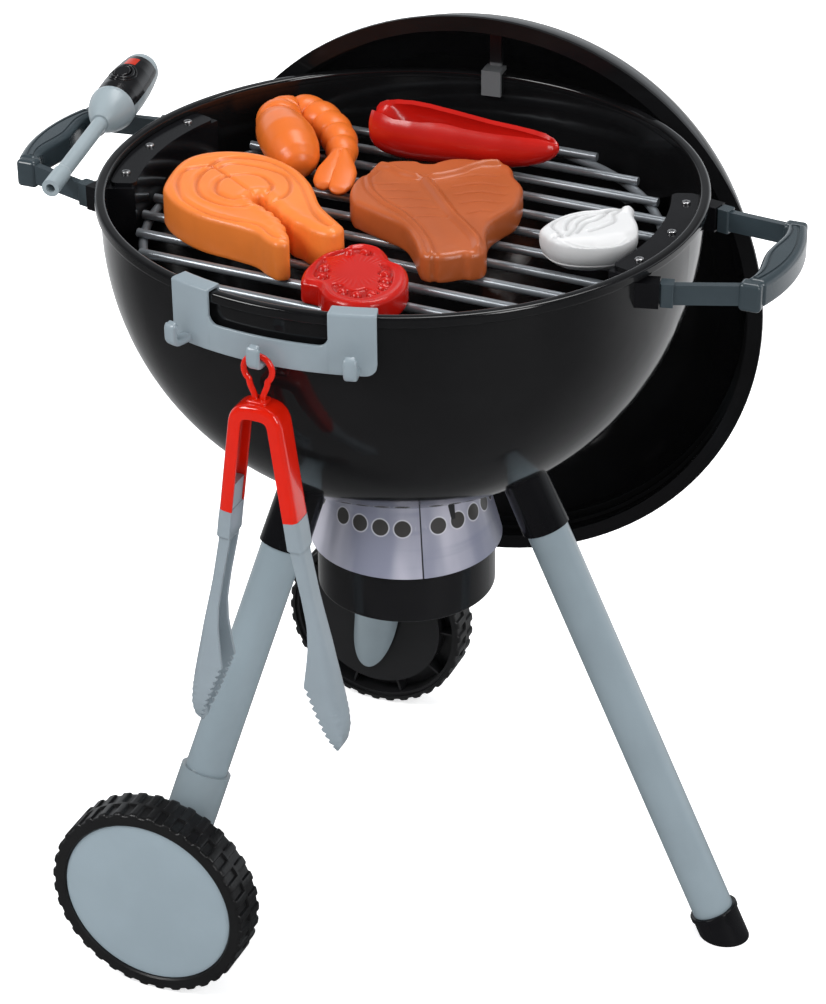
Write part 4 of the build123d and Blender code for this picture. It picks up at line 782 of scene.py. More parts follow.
tomato_folds = [
    [(-8.9, -110.6), (-3.6, -108.6), (0.4, -109.4), (3.4, -113.2)],
    [(16.2, -62.8), (21.0, -69.0), (27, -71.6)]]


def tomato_rise(at, depth):
    rise = 0.7 * np.exp(-((depth - 2.6) / 1.5) ** 2)
    heart = np.array([11.5, -87.5])
    away = at - heart
    bearing = np.arctan2(away[:, 1], away[:, 0])
    reach = np.linalg.norm(away, axis=1)
    rays = np.clip((reach - 9) / 5, 0, 1) * np.clip((19 - reach) / 3, 0, 1)
    rise += 0.08 * rays * np.sin(bearing * 36)
    for line in tomato_pockets:
        rise += basin(at, flowing(line, 3), 1.3, 1.8)
    for spot in tomato_seeds:
        rise += bead(at, spot, 2.9, 2.5)
    for line in tomato_folds:
        rise += groove(at, flowing(line, 4, False), 2.2, 1.1)
    return rise


tomato_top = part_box("tomato_slice")[1][2] / MM
tomato_form = relief(flowing(tomato_line, 5), food_low, tomato_top, 2.4, tomato_rise, 0.42)
piece("tomato_round", *tomato_form[:2], "tomato_red", "tomato", ["tomato_slice"], hollow=tomato_form[2])

# %% [markdown]
# The onion half shows its layers as pressed lines that run together at the tip. Whole, it would be a ball, so
# its wall isn't upright: the outline is drawn in further the lower it goes.

# %% Onion half
onion_line = [
    (87.2, -22.5), (88, -13), (92, -2), (99, 7), (107, 12.6), (114.5, 18.0), (118.6, 20.2),
    (121.0, 21.8), (124.0, 21.6), (125.2, 18.4), (126.6, 13.5), (131.4, 6), (135.4, -4), (136.2, -12),
    (133, -21), (125, -28.6), (114, -33.2), (104, -34.2), (97.5, -32.4), (92.4, -28.8)]
onion_face = [
    (86, -23), (87, -12), (92, 1), (100, 11), (110, 17), (119, 23), (127, 22), (127, 14), (129.2, 3.8),
    (129.6, -4.4), (127.7, -9.8), (122.4, -14.1), (115, -20.2), (107.2, -24.2), (101.9, -27.6),
    (97.3, -31.5), (91, -29)]
onion_flames = [
    [(101.4, -28), (97.9, -22.9), (93.3, -18.8), (91.8, -13.5), (93.8, -5.4), (99.2, 1.6), (105, 7.5),
     (112.6, 12.8), (117.5, 18)],
    [(104.1, -25.3), (104.9, -16.5), (103.5, -8.8), (106, -0.5), (109.2, 4.4), (112.5, 10.4),
     (117.3, 17.6)],
    [(101.5, -19.9), (98.6, -11.5), (99.6, -3.4), (104.8, 3.0), (110.6, 9.4), (117.0, 16.9)],
    [(107.4, -20.4), (107.4, -8.4), (111.1, -2.1), (112.6, 3.3), (113.6, 9.2), (117.8, 16.0)],
    [(112.8, -16.2), (117.8, -7.8), (120.6, 0.5), (117.4, 8), (118.4, 12.1), (118.6, 16.8)]]


def onion_rise(at, depth):
    outside = reach_to(at, onion_face) * ~within(at, onion_face)
    rise = -0.055 * outside ** 1.9
    for line in onion_flames:
        rise += groove(at, flowing(line, 4, False), 1.6, 1.3)
        rise += groove(at, beside(flowing(line, 4, False), 2.2), 1.8, -0.35)
    rise += groove(at, [(96, -30.6), (99.4, -27.4), (101.2, -24.6)], 2.0, 1.0)
    rise -= bead(at, (99.2, -29.6), 1.1, 1.4)
    tip = np.clip(np.linalg.norm(at - np.array([122.0, 17.6]), axis=1) / 6.5, 0, 1)
    return rise + 1.5 * (1 - tip ** 2) ** 2


onion_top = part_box("onion_half")[1][2] / MM
onion_sides = (
    (437, 0.0), (432.4, 1.2), (431.6, 1.9), (430.8, 1.8), (428, 5.0), (425.4, 9.0), (423.8, 12.6),
    (food_low, 15.5))
onion_form = relief(flowing(onion_line, 5), food_low, onion_top, 3.6, onion_rise, 0.6, sides=onion_sides)
piece("onion_cut", *onion_form[:2], "onion_white", "onion", ["onion_half"], hollow=onion_form[2])

# %% [markdown]
# The shrimp is a bent, tapering body of overlapping shells. A tube is carried along its back and its
# radius grows and drops again at each shell. The tail ends in two flat lobes, made the same way.

# %% Shrimp
shrimp_run = [
    (-70.4, 22.5), (-75.4, 28.5), (-82.0, 36.4), (-89.0, 45.4), (-96.4, 55.0), (-103.4, 65.0),
    (-108.2, 75.0), (-108.8, 84.0), (-103.6, 90.4), (-95.2, 91.2), (-86.4, 86.6), (-77.4, 79.2),
    (-69.4, 70.2), (-63.0, 60.4), (-58.8, 50.2), (-56.6, 42.4)]
shrimp_radii = (
    (0, 1.2), (0.01, 5.6), (0.03, 9.4), (0.07, 12.8), (0.13, 15.2), (0.2, 16.0), (0.28, 15.2),
    (0.34, 13.6), (0.37, 13.0), (0.42, 13.6), (0.48, 12.4), (0.52, 12.2), (0.6, 12.2), (0.7, 11.4),
    (0.8, 10.4), (0.88, 9.2), (0.95, 7.6), (0.985, 6.2), (1, 4.8))
shell_ends = (0.36, 0.44, 0.53, 0.62, 0.705, 0.785, 0.86, 0.93)


def shrimp_section(share):
    radius = np.interp(share, *zip(*shrimp_radii))
    lift = 1.0
    for start, end in zip(shell_ends[:-1], shell_ends[1:]):
        if start <= share < end:
            part = (share - start) / (end - start)
            lift = 0.9 + 0.13 * math.sin(math.pi * min(part * 1.12, 1.0)) ** 0.55
    return circle(radius * lift, 40, 0.92)


def resting(run, radii, squash):
    """Flat run lifted so that the tube of these radii rests on the grate."""
    last = len(run) - 1
    heights = [food_low + squash * np.interp(k / last, *zip(*radii)) * 1.03 for k in range(last + 1)]
    return [(x, y, height) for (x, y), height in zip(run, heights)]


shrimp_path = flowing([(x, y, 0) for x, y in shrimp_run], 12, False)
shrimp_path = resting([point[:2] for point in shrimp_path], ((0, 11.0),) + shrimp_radii[4:], 0.92)
shrimp_body = swept(shrimp_path, shrimp_section)


def tail_section(wide):
    """Leaf of the tail: a bowl-shaped section that widens and closes again."""
    def section(share):
        halves = (2.6, 4.2, wide, wide * 0.96, wide * 0.7, wide * 0.4, 0.5)
        half = np.interp(share, (0, 0.12, 0.5, 0.8, 0.93, 0.98, 1), halves)
        thick = np.interp(share, (0, 0.3, 0.9, 1), (4.4, 4.2, 2.8, 0.5))
        angles = np.linspace(0, 2 * math.pi, 32, endpoint=False)
        return [(half * math.cos(a), thick * math.sin(a) + 0.16 * half * math.cos(a) ** 2) for a in angles]
    return section


tail_lobes = []
for run, wide in ((((-58.2, 45.0), (-57.4, 37.0), (-56.6, 28.0), (-55.4, 20.0), (-53.0, 12.5)), 6.4),
                  (((-55.0, 46.0), (-51.4, 38.0), (-47.0, 28.0), (-44.6, 19.0), (-44.0, 9.5)), 7.0)):
    heights = np.interp(np.linspace(0, 1, 5), (0, 0.5, 1), (12.0, 9.0, 5.6))
    lobe_path = flowing([(x, y, food_low + z) for (x, y), z in zip(run, heights)], 10, False)
    tail_lobes.append(swept(lobe_path, tail_section(wide)))
piece("shrimp_body", *join(shrimp_body, *tail_lobes), "shrimp_orange", "prawn", ["shrimp"], flat=60)

# %% [markdown]
# The pepper is a pod with its top cut away. Its section is part of a circle, open above, with a thick
# rolled rim. Each section runs down the outside, round the rim and back through the hollow, so a skin
# over all the sections is one closed shell with an inside and an outside.

# %% Pepper
pepper_low, pepper_high = -53.0, 60.0
pepper_y, PEPPER_SLIM, PEPPER_TURN = 83.5, 0.95, math.radians(-2.5)
pepper_radii = (
    (0, 8.5), (0.012, 11.4), (0.04, 14.2), (0.09, 16.6), (0.16, 18.0), (0.26, 18.3), (0.38, 17.4),
    (0.5, 16.2), (0.62, 14.9), (0.74, 13.3), (0.84, 11.4), (0.91, 9.2), (0.96, 6.6), (0.985, 4.4),
    (1, 1.6))
pepper_front = (
    (0, 62), (0.05, 50), (0.16, 36), (0.3, 38), (0.42, 46), (0.55, 44), (0.7, 46), (0.85, 52), (1, 66))
pepper_back = ((0, 66), (0.05, 50), (0.12, 42), (0.3, 36), (0.6, 34), (0.85, 42), (1, 66))
pepper_hollow = (
    (0, 0.02), (0.05, 0.1), (0.09, 0.42), (0.14, 0.66), (0.22, 0.8), (0.6, 0.78), (0.85, 0.6),
    (0.95, 0.25), (1, 0.02))


def pepper_ring(share):
    """One section of the pod: outside, front rim, hollow, back rim."""
    radius = PEPPER_SLIM * np.interp(share, *zip(*pepper_radii))
    deep = np.interp(share, *zip(*pepper_hollow))
    front = math.radians(np.interp(share, *zip(*pepper_front)))
    rear = math.radians(np.interp(share, *zip(*pepper_back)))
    rise = food_low + 17.6 + 3.0 * max(share - 0.55, 0) ** 2 / 0.2
    x = pepper_low + share * (pepper_high - pepper_low)
    wall = min(2.6, radius * 0.3)
    ring = []
    for step in range(45):
        angle = math.pi - front + step / 44 * (math.pi + front + rear)
        lobe = 1 - 0.1 * max(1 - share / 0.12, 0) * math.cos(2 * angle)
        ring.append((x, pepper_y + radius * lobe * math.cos(angle), rise + radius * lobe * math.sin(angle)))
    inner = radius - wall
    edge_back = (pepper_y + inner * math.cos(rear), rise + inner * math.sin(rear))
    edge_front = (pepper_y - inner * math.cos(front), rise + inner * math.sin(front))
    for step in range(31):
        part = step / 30
        angle = 2 * math.pi + rear - part * (math.pi + front + rear)
        floor_y, floor_z = pepper_y + inner * math.cos(angle), rise + inner * math.sin(angle)
        flat_y = edge_back[0] * (1 - part) + edge_front[0] * part
        flat_z = edge_back[1] * (1 - part) + edge_front[1] * part
        ring.append((x, flat_y * (1 - deep) + floor_y * deep, flat_z * (1 - deep) + floor_z * deep))
    return ring


pepper_shares = {0.004 * k for k in range(12)} | {0.05 + 0.0125 * k for k in range(72)}
pepper_shares |= {0.955 + 0.005 * k for k in range(10)}
pepper_rings = [pepper_ring(min(share, 1)) for share in sorted(pepper_shares)]
stem_end = Matrix.Translation((pepper_low, pepper_y, 0))
pepper_matrix = stem_end @ Matrix.Rotation(PEPPER_TURN, 4, "Z") @ stem_end.inverted()
pepper_pod = placed(skin(pepper_rings, False), pepper_matrix)
piece("pepper_pod", *pepper_pod, "pepper_red", "pepper", ["pepper_half"], flat=50)

# %% [markdown]
# The grate is welded from plain wire, so it suits Geometry Nodes: a row of points, one rod on each,
# stretched to meet a circle, and a ring below. A loop over cylinders would give the same mesh; here the
# pitch and the wire are inputs of the group, whose result is then kept as a plain mesh.

# %% Grate
def grate_tree():
    """Geometry Nodes group: parallel rods cut to a circle, lying on a ring."""
    tree = bpy.data.node_groups.new("grate", "GeometryNodeTree")
    floats = [(title, "Float") for title in ("Pitch", "Reach", "Ring", "Wire", "Drop")]
    for title, kind in [("Rods", "Int"), *floats, ("Finish", "Material")]:
        tree.interface.new_socket(title, in_out="INPUT", socket_type="NodeSocket" + kind)
    tree.interface.new_socket("Geometry", in_out="OUTPUT", socket_type="NodeSocketGeometry")

    def add(kind, settings=(), **inputs):
        node = tree.nodes.new(kind)
        for key, item in dict(settings).items():
            setattr(node, key, item)
        for key, item in inputs.items():
            numbered = key[0] == "n" and key[1:].isdigit()
            socket = node.inputs[int(key[1:]) if numbered else key.replace("_", " ")]
            if isinstance(item, bpy.types.NodeSocket):
                tree.links.new(item, socket)
            else:
                socket.default_value = item
        return node.outputs[0]

    def sums(kind, first, second=0.0):
        return add("ShaderNodeMath", {"operation": kind}, n0=first, n1=second)

    given = tree.nodes.new("NodeGroupInput").outputs
    rods, pitch, reach, ring, wire, drop, finish = [given[k] for k in range(7)]
    half = sums("MULTIPLY", sums("MULTIPLY", sums("SUBTRACT", rods, 1.0), pitch), -0.5)
    start = add("ShaderNodeCombineXYZ", Y=half)
    step = add("ShaderNodeCombineXYZ", Y=pitch)
    row = add("GeometryNodeMeshLine", Count=rods, Start_Location=start, Offset=step)
    section = add("GeometryNodeCurvePrimitiveCircle", Resolution=20, Radius=wire)
    unit = add("GeometryNodeCurvePrimitiveLine", Start=(-1, 0, 0), End=(1, 0, 0))
    rod = add("GeometryNodeCurveToMesh", Curve=unit, Profile_Curve=section, Fill_Caps=True)
    across = tree.nodes.new("ShaderNodeSeparateXYZ")
    tree.links.new(add("GeometryNodeInputPosition"), across.inputs[0])
    y = across.outputs[1]
    stretch = sums("SQRT", sums("SUBTRACT", sums("MULTIPLY", reach, reach), sums("MULTIPLY", y, y)))
    size = add("ShaderNodeCombineXYZ", X=stretch, Y=1.0, Z=1.0)
    laid = add("GeometryNodeInstanceOnPoints", Points=row, Instance=rod, Scale=size)
    hoop = add("GeometryNodeCurvePrimitiveCircle", Resolution=160, Radius=ring)
    hoop_mesh = add("GeometryNodeCurveToMesh", Curve=hoop, Profile_Curve=section)
    down = add("ShaderNodeCombineXYZ", Z=sums("MULTIPLY", drop, -1.0))
    lowered = add("GeometryNodeTransform", Geometry=hoop_mesh, Translation=down)
    joined = tree.nodes.new("GeometryNodeJoinGeometry")
    for part in (laid, lowered):
        tree.links.new(part, joined.inputs[0])
    whole = add("GeometryNodeRealizeInstances", Geometry=joined.outputs[0])
    shown = add("GeometryNodeSetMaterial", Geometry=whole, Material=finish)
    tree.links.new(shown, tree.nodes.new("NodeGroupOutput").inputs[0])
    return tree


def grown(name, tree, **inputs):
    """Plain mesh that a Geometry Nodes group makes from these inputs."""
    seed = bpy.data.objects.new(name + "_seed", bpy.data.meshes.new(name + "_seed"))
    scene.collection.objects.link(seed)
    modifier = seed.modifiers.new("grow", "NODES")
    modifier.node_group = tree
    for socket in tree.interface.items_tree:
        if socket.in_out == "INPUT" and socket.name in inputs:
            modifier[socket.identifier] = inputs[socket.name]
    bpy.context.view_layer.update()
    mesh = bpy.data.meshes.new_from_object(seed.evaluated_get(bpy.context.evaluated_depsgraph_get()))
    seed.modifiers.clear()
    bpy.data.objects.remove(seed)
    mesh.name = name
    return mesh


WIRE, ROD_PITCH, ROD_COUNT, ROD_REACH = 2.5, 21.7, 13, 143.2
RING_INSET, RING_DROP, GRATE_TURN = 2.6, 4.4, -2.5
grate_high = Vector(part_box("cooking_grate")[1]) / MM
grate_mesh = grown("grate_wires", grate_tree(), Rods=ROD_COUNT, Pitch=ROD_PITCH, Reach=ROD_REACH,
                   Ring=ROD_REACH - RING_INSET, Wire=WIRE, Drop=RING_DROP,
                   Finish=looks["rod_silver"].material)
grate_turn = Matrix.Rotation(math.radians(GRATE_TURN), 4, "Z")
grate_mesh.transform(Matrix.Translation((0, 0, grate_high.z - WIRE)) @ grate_turn)
grate_points = [tuple(vertex.co) for vertex in grate_mesh.vertices]
grate_faces = [tuple(face.vertices) for face in grate_mesh.polygons]
piece("grate_wires", grate_points, grate_faces, "rod_silver", "grate", ["cooking_grate"], flat=50)

# %% [markdown]
# The bowl's lip is rolled over, so it is the one edge that catches light all the way round. It gets its
# own fine ring, because the eye follows that highlight and would see every facet.

# %% Lip
LIP_WIDE, LIP_HIGH, LIP_ROUND, LIP_COVER = 5.7, 6.0, 1.9, 0.07
RIM_TOP, RIM_RADIUS = 447.6, 165.0
lip_in, lip_out = RIM_RADIUS - LIP_WIDE - LIP_COVER, RIM_RADIUS + LIP_COVER
lip_down, lip_up = RIM_TOP - LIP_HIGH - LIP_COVER, RIM_TOP + LIP_COVER
lip_corners = [(lip_in, lip_down), (lip_out, lip_down), (lip_out, lip_up), (lip_in, lip_up)]
piece("bowl_lip", *turned(eased_flat(lip_corners, LIP_ROUND, 8), 360), "bowl_black", "stand")

# %% [markdown]
# The tyre's lugs stand in two rows, half a pitch apart, and their gaps run out over the shoulders. The
# tread is one ring of points whose radius drops inside each gap, which keeps every edge soft.

# %% Tyres
LUGS, LUG_GAP, LUG_DEEP, LUG_EDGE = 36, 0.4, 1.5, 0.22
STEPS_A_LUG = 14


def lug_gap(turn_share, row):
    """1 in the middle of a gap between two lugs, 0 on a lug."""
    place = (turn_share * LUGS + 0.5 * row) % 1.0
    away = abs(place - 0.5) * 2
    share = min(max((LUG_GAP + LUG_EDGE - away) / LUG_EDGE, 0), 1)
    return share * share * (3 - 2 * share)


def tyre(name, node, body, outward):
    """Tyre on the wheel's axis; outward is the way its open side faces along Y."""
    low, high = [Vector(corner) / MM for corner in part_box(node)]
    centre, radius, wide = (low + high) / 2, (high.x - low.x) / 2, high.y - low.y
    start = low.y if outward > 0 else high.y
    inside, side = radius - 3.6, radius - 8.3
    # Points of the section: distance from the axle, place along it, row of lugs, share of a gap's depth.
    profile = [(inside, 0, 0, 0), (radius - 1.4, 0, 0, 0.75), (radius - 0.5, 0.45, 0, 0.85),
    (radius, 1.3, 0, 0.95)]
    profile += [(radius, wide * share, 0, 1) for share in (0.12, 0.2, 0.28, 0.36, 0.42, 0.445)]
    profile += [(radius, wide * 0.47, 0, 0), (radius, wide * 0.53, 1, 0)]
    profile += [(radius, wide * share, 1, 1) for share in (0.555, 0.58, 0.64, 0.72, 0.8, 0.88)]
    profile += [(radius, wide - 1.3, 1, 0.95), (radius - 0.5, wide - 0.45, 1, 0.85)]
    profile += [(radius - 1.4, wide, 1, 0.75), (radius - 3.2, wide, 1, 0.1), (side + 0.8, wide, 1, 0)]
    profile += [(side, wide - 0.8, 1, 0), (side, wide - 3.0, 1, 0), (inside, wide - 3.0, 1, 0)]
    count = LUGS * STEPS_A_LUG
    rings = []
    for k in range(count):
        angle = 2 * math.pi * k / count
        ring = []
        for reach, along, row, cut in profile:
            reach -= LUG_DEEP * cut * lug_gap(k / count, row)
            x, z = centre.x + reach * math.cos(angle), centre.z + reach * math.sin(angle)
            ring.append((x, start + outward * along, z))
        rings.append(ring)
    piece(name, *skin(rings), "tyre_black", body, [node], flat=42)


tyre("tyre_rear", "wheel_tyre_rear", "wheel_rear", 1)
tyre("tyre_front", "wheel_tyre_front", "wheel_front", -1)

# %% [markdown]
# The band under the bowl is printed: a row of vent holes, a small tab and a seam. Soft upright streaks are
# painted reflections, as if it were bright sheet metal. Nothing is cut in the real plastic, so the finish
# does it, in degrees about the axis.

# %% Vent band print
SEAM_TURN, FIRST_HOLE, HOLE_PITCH, HOLE_COUNT, BLANK_HOLE = -57.0, 12.4, 15.24, 23, 18
HOLE_HEIGHT, HOLE_RADIUS, BAND_RADIUS, TAB_AT = 0.2586, 0.0046, 0.0474, 24.3


def print_band(band):
    """Print of the band with painted reflections: around counts degrees from the seam, and place counts
    holes.
    """
    x, y, z = band.axes()
    around = ((y.sum("ARCTAN2", x) / math.radians(360)) - SEAM_TURN / 360).sum("FRACT") * 360
    place = (around - FIRST_HOLE) / HOLE_PITCH
    sideways = ((place + 0.5).sum("FRACT") - 0.5) * (math.radians(HOLE_PITCH) * BAND_RADIUS)
    upright = (z - HOLE_HEIGHT) * 1.035
    away = (sideways * sideways + upright * upright).sum("SQRT")
    in_row = place.step(-0.6, -0.55) * place.step(HOLE_COUNT - 0.45, HOLE_COUNT - 0.4, 1, 0)
    in_row = in_row * (place - BLANK_HOLE).sum("ABSOLUTE").step(0.45, 0.5)
    hole = away.step(HOLE_RADIUS - 0.0001, HOLE_RADIUS + 0.0003, 1, 0) * in_row
    edge = away.step(HOLE_RADIUS + 0.0005, HOLE_RADIUS + 0.0011, 1, 0) * in_row
    seam = ((around - 180).sum("ABSOLUTE") - 180).sum("ABSOLUTE").step(0.35, 0.6, 1, 0)
    upright_spot = {"X": around * 0.024, "Y": z * 7.0, "Z": 2.3}
    level_spot = {"X": around * 0.006, "Y": z * 130.0, "Z": 4.0}
    # Upright streaks are painted reflections of the room on the silver band.
    reflection_streaks = band.noise(1.0, 3, 0.5, band.add("ShaderNodeCombineXYZ", {}, upright_spot).outputs[0])
    rings = band.noise(1.0, 2, 0.5, band.add("ShaderNodeCombineXYZ", {}, level_spot).outputs[0])
    tin = band.blend(reflection_streaks.step(0.36, 0.66), (0.25, 0.26, 0.34), (0.56, 0.55, 0.63))
    tin = band.blend(rings.step(0.5, 0.75) * 0.4, tin, (0.2, 0.22, 0.31))
    tin = band.blend(edge * 0.75, tin, (0.66, 0.66, 0.7))
    tin = band.blend(hole, tin, (0.055, 0.052, 0.05))
    tab = ((around - TAB_AT).sum("ABSOLUTE") * (math.radians(1) * BAND_RADIUS)) - (z - 0.26) * 0.12
    tab = tab.step(0.0012, 0.0015, 1, 0) * z.step(0.2598, 0.2602)
    tin = band.blend(tab, tin, (0.02, 0.02, 0.022))
    band.set("Base Color", band.blend(seam, tin, (0.012, 0.012, 0.015)))


print_band(looks["band_silver"])
print("vent holes", HOLE_COUNT)

# %% [markdown]
# The rack is one moulding that follows the bowl's wall: a plate with a window, two hangers over the lip and
# three hooks. Its section is drawn at each turn about the bowl's axis. At the ends the section shrinks a
# little, which rounds the outer edges, and the hooks are strips swept along a C.

# %% Accessory rack
RACK_TURN, RACK_HALF, WINDOW_HALF, RACK_INNER, RACK_OUTER = -91.2, 57.0, 33.2, 165.3, 167.3
RACK_LOW, RACK_TOP, RACK_BAND_TOP, LEG_INNER, LEG_OUTER, LEG_LOW = 416.2, 449.9, 431.4, 156.7, 158.7, 438.9
CORNER, WINDOW_CORNER = 6.0, 5.0
HOOK_TURNS, HOOK_LEVEL, HOOK_OUT, HOOK_TIP = (-107.7, -91.5, -75.3), 419.8, 178.6, 430.8
STRIP_HALF, STRIP_THIN = 3.5, 1.9


def round_rise(away, radius):
    """How far an edge lifts at a distance from a rounded corner's end."""
    return radius - math.sqrt(max(radius ** 2 - max(radius - away, 0) ** 2, 0))


def hanger_section(across):
    low = RACK_LOW + round_rise(RACK_HALF - abs(across), CORNER)
    under = RACK_TOP - 2.0
    corners = [(RACK_INNER, low), (RACK_OUTER, low), (RACK_OUTER, RACK_TOP), (LEG_INNER, RACK_TOP)]
    corners += [(LEG_INNER, LEG_LOW), (LEG_OUTER, LEG_LOW), (LEG_OUTER, under), (RACK_INNER, under)]
    return eased_flat(corners, [0.8, 0.8, 1.7, 1.7, 0.8, 0.8, 0.4, 0.4], 5)


def band_section(across):
    high = RACK_BAND_TOP + round_rise(WINDOW_HALF - abs(across), WINDOW_CORNER)
    corners = [(RACK_INNER, RACK_LOW), (RACK_OUTER, RACK_LOW), (RACK_OUTER, high), (RACK_INNER, high)]
    return eased_flat(corners, 0.8, 5)


def about_bowl(start, end, section, soften=0.5):
    """Sections carried round the bowl's axis between two distances across the rack."""
    rings = []
    places = [start, start + math.copysign(soften, end - start), *np.linspace(start, end, 44)[1:-1],
              end - math.copysign(soften, end - start), end]
    for place in sorted(places, reverse=start > end):
        outline = section(place)
        if place in (start, end):
            outline = inset(outline, soften * 0.8)
        turn = math.radians(RACK_TURN) + math.asin(place / RACK_OUTER)
        rings.append([(r * math.cos(turn), r * math.sin(turn), z) for r, z in outline])
    return skin(rings, False)


def hook_strip(turn):
    """C-shaped strip that stands out of the plate."""
    run = [(RACK_OUTER - 1.2, HOOK_LEVEL), (HOOK_OUT, HOOK_LEVEL)]
    run += [(HOOK_OUT, HOOK_TIP - 1.5), (HOOK_OUT - 2.4, HOOK_TIP)]
    run = eased_flat(run, [0, 5.2, 2.6, 0], 12, closed=False)
    path = [(r * math.cos(turn), r * math.sin(turn), z) for r, z in run]

    def section(share):
        size = np.interp(share, (0, 0.9, 1), (1, 1, 0.72))
        corners = [(STRIP_HALF * a, STRIP_THIN * b) for a, b in ((-1, -1), (1, -1), (1, 1), (-1, 1))]
        return [(a * size, b * size) for a, b in eased_flat(corners, 1.7, 5)]

    return swept(path, section)


hangers = [about_bowl(side * WINDOW_HALF, side * RACK_HALF, hanger_section) for side in (1, -1)]
rack_band = about_bowl(-WINDOW_HALF - 0.6, WINDOW_HALF + 0.6, band_section, 0.05)
hooks = [hook_strip(math.radians(turn)) for turn in HOOK_TURNS]
piece("rack_hanger", *join(*hangers, rack_band, *hooks), "rack_grey", "rack", ["accessory_rack"], flat=50)

# %% [markdown]
# The tongs' bow is a channel of springy plastic, bent over at the crown. In use only its two shoulders
# flex; each half of the bow is one unbroken sweep from its arm to the crown, and rides on no body. A
# hanging loop grows out of the crown.

# %% Tongs bow
TONGS_WIDE, TONGS_DEEP, TONGS_WALL, TONGS_CROWN_ROUND = 16.0, 7.7, 1.8, 13.4
TOP_HALF, END_HALF, BOW_LONG, SHOULDER_DROP = 13.7, 22.0, 63.0, 19.0
LOOP_RADIUS, LOOP_WIRE, LOOP_UP = 7.8, 1.62, 17.6
bow_end = (Vector(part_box("tongs_arm_right")[0]) / MM).z
crown_low, crown_high = [Vector(corner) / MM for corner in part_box("tongs_bow")]
bow_x = (crown_low.x + crown_high.x) / 2
bow_y = (crown_low.y + crown_high.y) / 2
bow_top = bow_end + BOW_LONG


def channel(deep):
    """U section of the bow: rounded outside, open towards the other arm."""
    half, wall = TONGS_WIDE / 2, TONGS_WALL
    outline = [(-half, -deep), (-half, 0), (half, 0), (half, -deep), (half - wall, -deep),
               (half - wall, -wall), (-half + wall, -wall), (-half + wall, -deep)]
    return eased_flat(outline, [0.7, 4.6, 4.6, 0.7, 0.7, 3.0, 3.0, 0.7], 7)


def bow_half(side):
    """One half of the bow, from the end of its arm to the middle of the crown."""
    corners = [(side * END_HALF, 0, bow_end), (side * TOP_HALF, 0, bow_top), (-side * TOP_HALF, 0, bow_top)]
    run = eased(corners, [0, TONGS_CROWN_ROUND, 0], 24, closed=False)
    path = []
    for start, end in zip(run[:-1], run[1:]):
        steps = 30 if (Vector(end) - Vector(start)).length > 20 else 1
        path += [Vector(start).lerp(Vector(end), k / steps) for k in range(steps)]
    path = [point for point in path if point.x * side > 0] + [Vector((0, 0, bow_top))]
    return swept([point + Vector((bow_x, bow_y, 0)) for point in path], channel(TONGS_DEEP))


for name, side in (("right", 1), ("left", -1)):
    arm = [f"tongs_arm_{name}"]
    half_bow = piece(f"tongs_bow_{name}", *bow_half(side), "tongs_red", None, arm, flat=40)
    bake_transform(half_bow)

loop_centre = bow_top + LOOP_UP
loop_run = [(-2.1, bow_top - 1.0), (-2.2, bow_top + 1.6), (-2.7, bow_top + 4.0), (-4.7, loop_centre - 8.6)]
loop_run += [(LOOP_RADIUS * math.sin(angle), loop_centre + LOOP_RADIUS * math.cos(angle))
             for angle in np.radians(np.linspace(-138, 138, 28))]
loop_run += [(-x, z) for x, z in loop_run[3::-1]]
loop_path = flowing([(bow_x + x, bow_y, z) for x, z in loop_run], 3, False)
loop_form = swept(loop_path, circle(LOOP_WIRE, 20))
saddle = [(bow_x + x, bow_y + y) for x, y in ((-5.4, -4.6), (5.4, -4.6), (5.4, 4.6), (-5.4, 4.6))]
saddle_form = slab(eased_flat(saddle, 2.4, 6), bow_top - 1.2, bow_top + 1.5, 1.0)
piece("tongs_loop", *join(loop_form, saddle_form), "tongs_red", "tongs", ["tongs_bow"], flat=50)

# %% [markdown]
# Each jaw is a channel too: a smooth back that swells from a narrow shaft to a blade, with two thin sides
# whose edges carry the teeth. Its section is worked out at each height, with the teeth as a ripple in how
# far the two sides reach, so one skin over the sections gives the whole jaw.

# %% Tongs jaws
JAW_LONG, JAW_WALL, TEETH, TOOTH = 137.0, 2.0, 9, 1.9
TEETH_FROM, TEETH_TO = 0.287, 0.022
jaw_outer = (
    (0.0, 39.6), (0.007, 40.6), (0.03, 42.6), (0.088, 44.0), (0.16, 43.4), (0.228, 42.0), (0.441, 36.1),
    (0.677, 28.6), (0.85, 24.4), (0.868, 24.2), (0.875, 24.7), (0.96, 23.2), (1.0, 22.1))
jaw_inner = (
    (0.0, 39.2), (0.022, 38.2), (0.287, 23.6), (0.32, 24.2), (0.39, 25.2), (0.46, 25.9), (0.55, 25.4),
    (0.677, 22.4), (0.85, 17.3), (0.868, 17.0), (0.875, 16.4), (1.0, 14.3))
jaw_half = (
    (0.0, 2.2), (0.012, 4.2), (0.05, 6.9), (0.1, 8.5), (0.17, 9.1), (0.3, 8.8), (0.45, 7.3), (0.58, 6.2),
    (0.85, 6.0), (0.868, 6.2), (0.875, 7.7), (1.0, 7.8))


def smooth_at(share, rows, spread=0.012):
    """Value of a table, averaged over a short stretch so that its corners are soft."""
    return sum(np.interp(share + k * spread / 2, *zip(*rows)) for k in (-2, -1, 0, 1, 2)) / 5


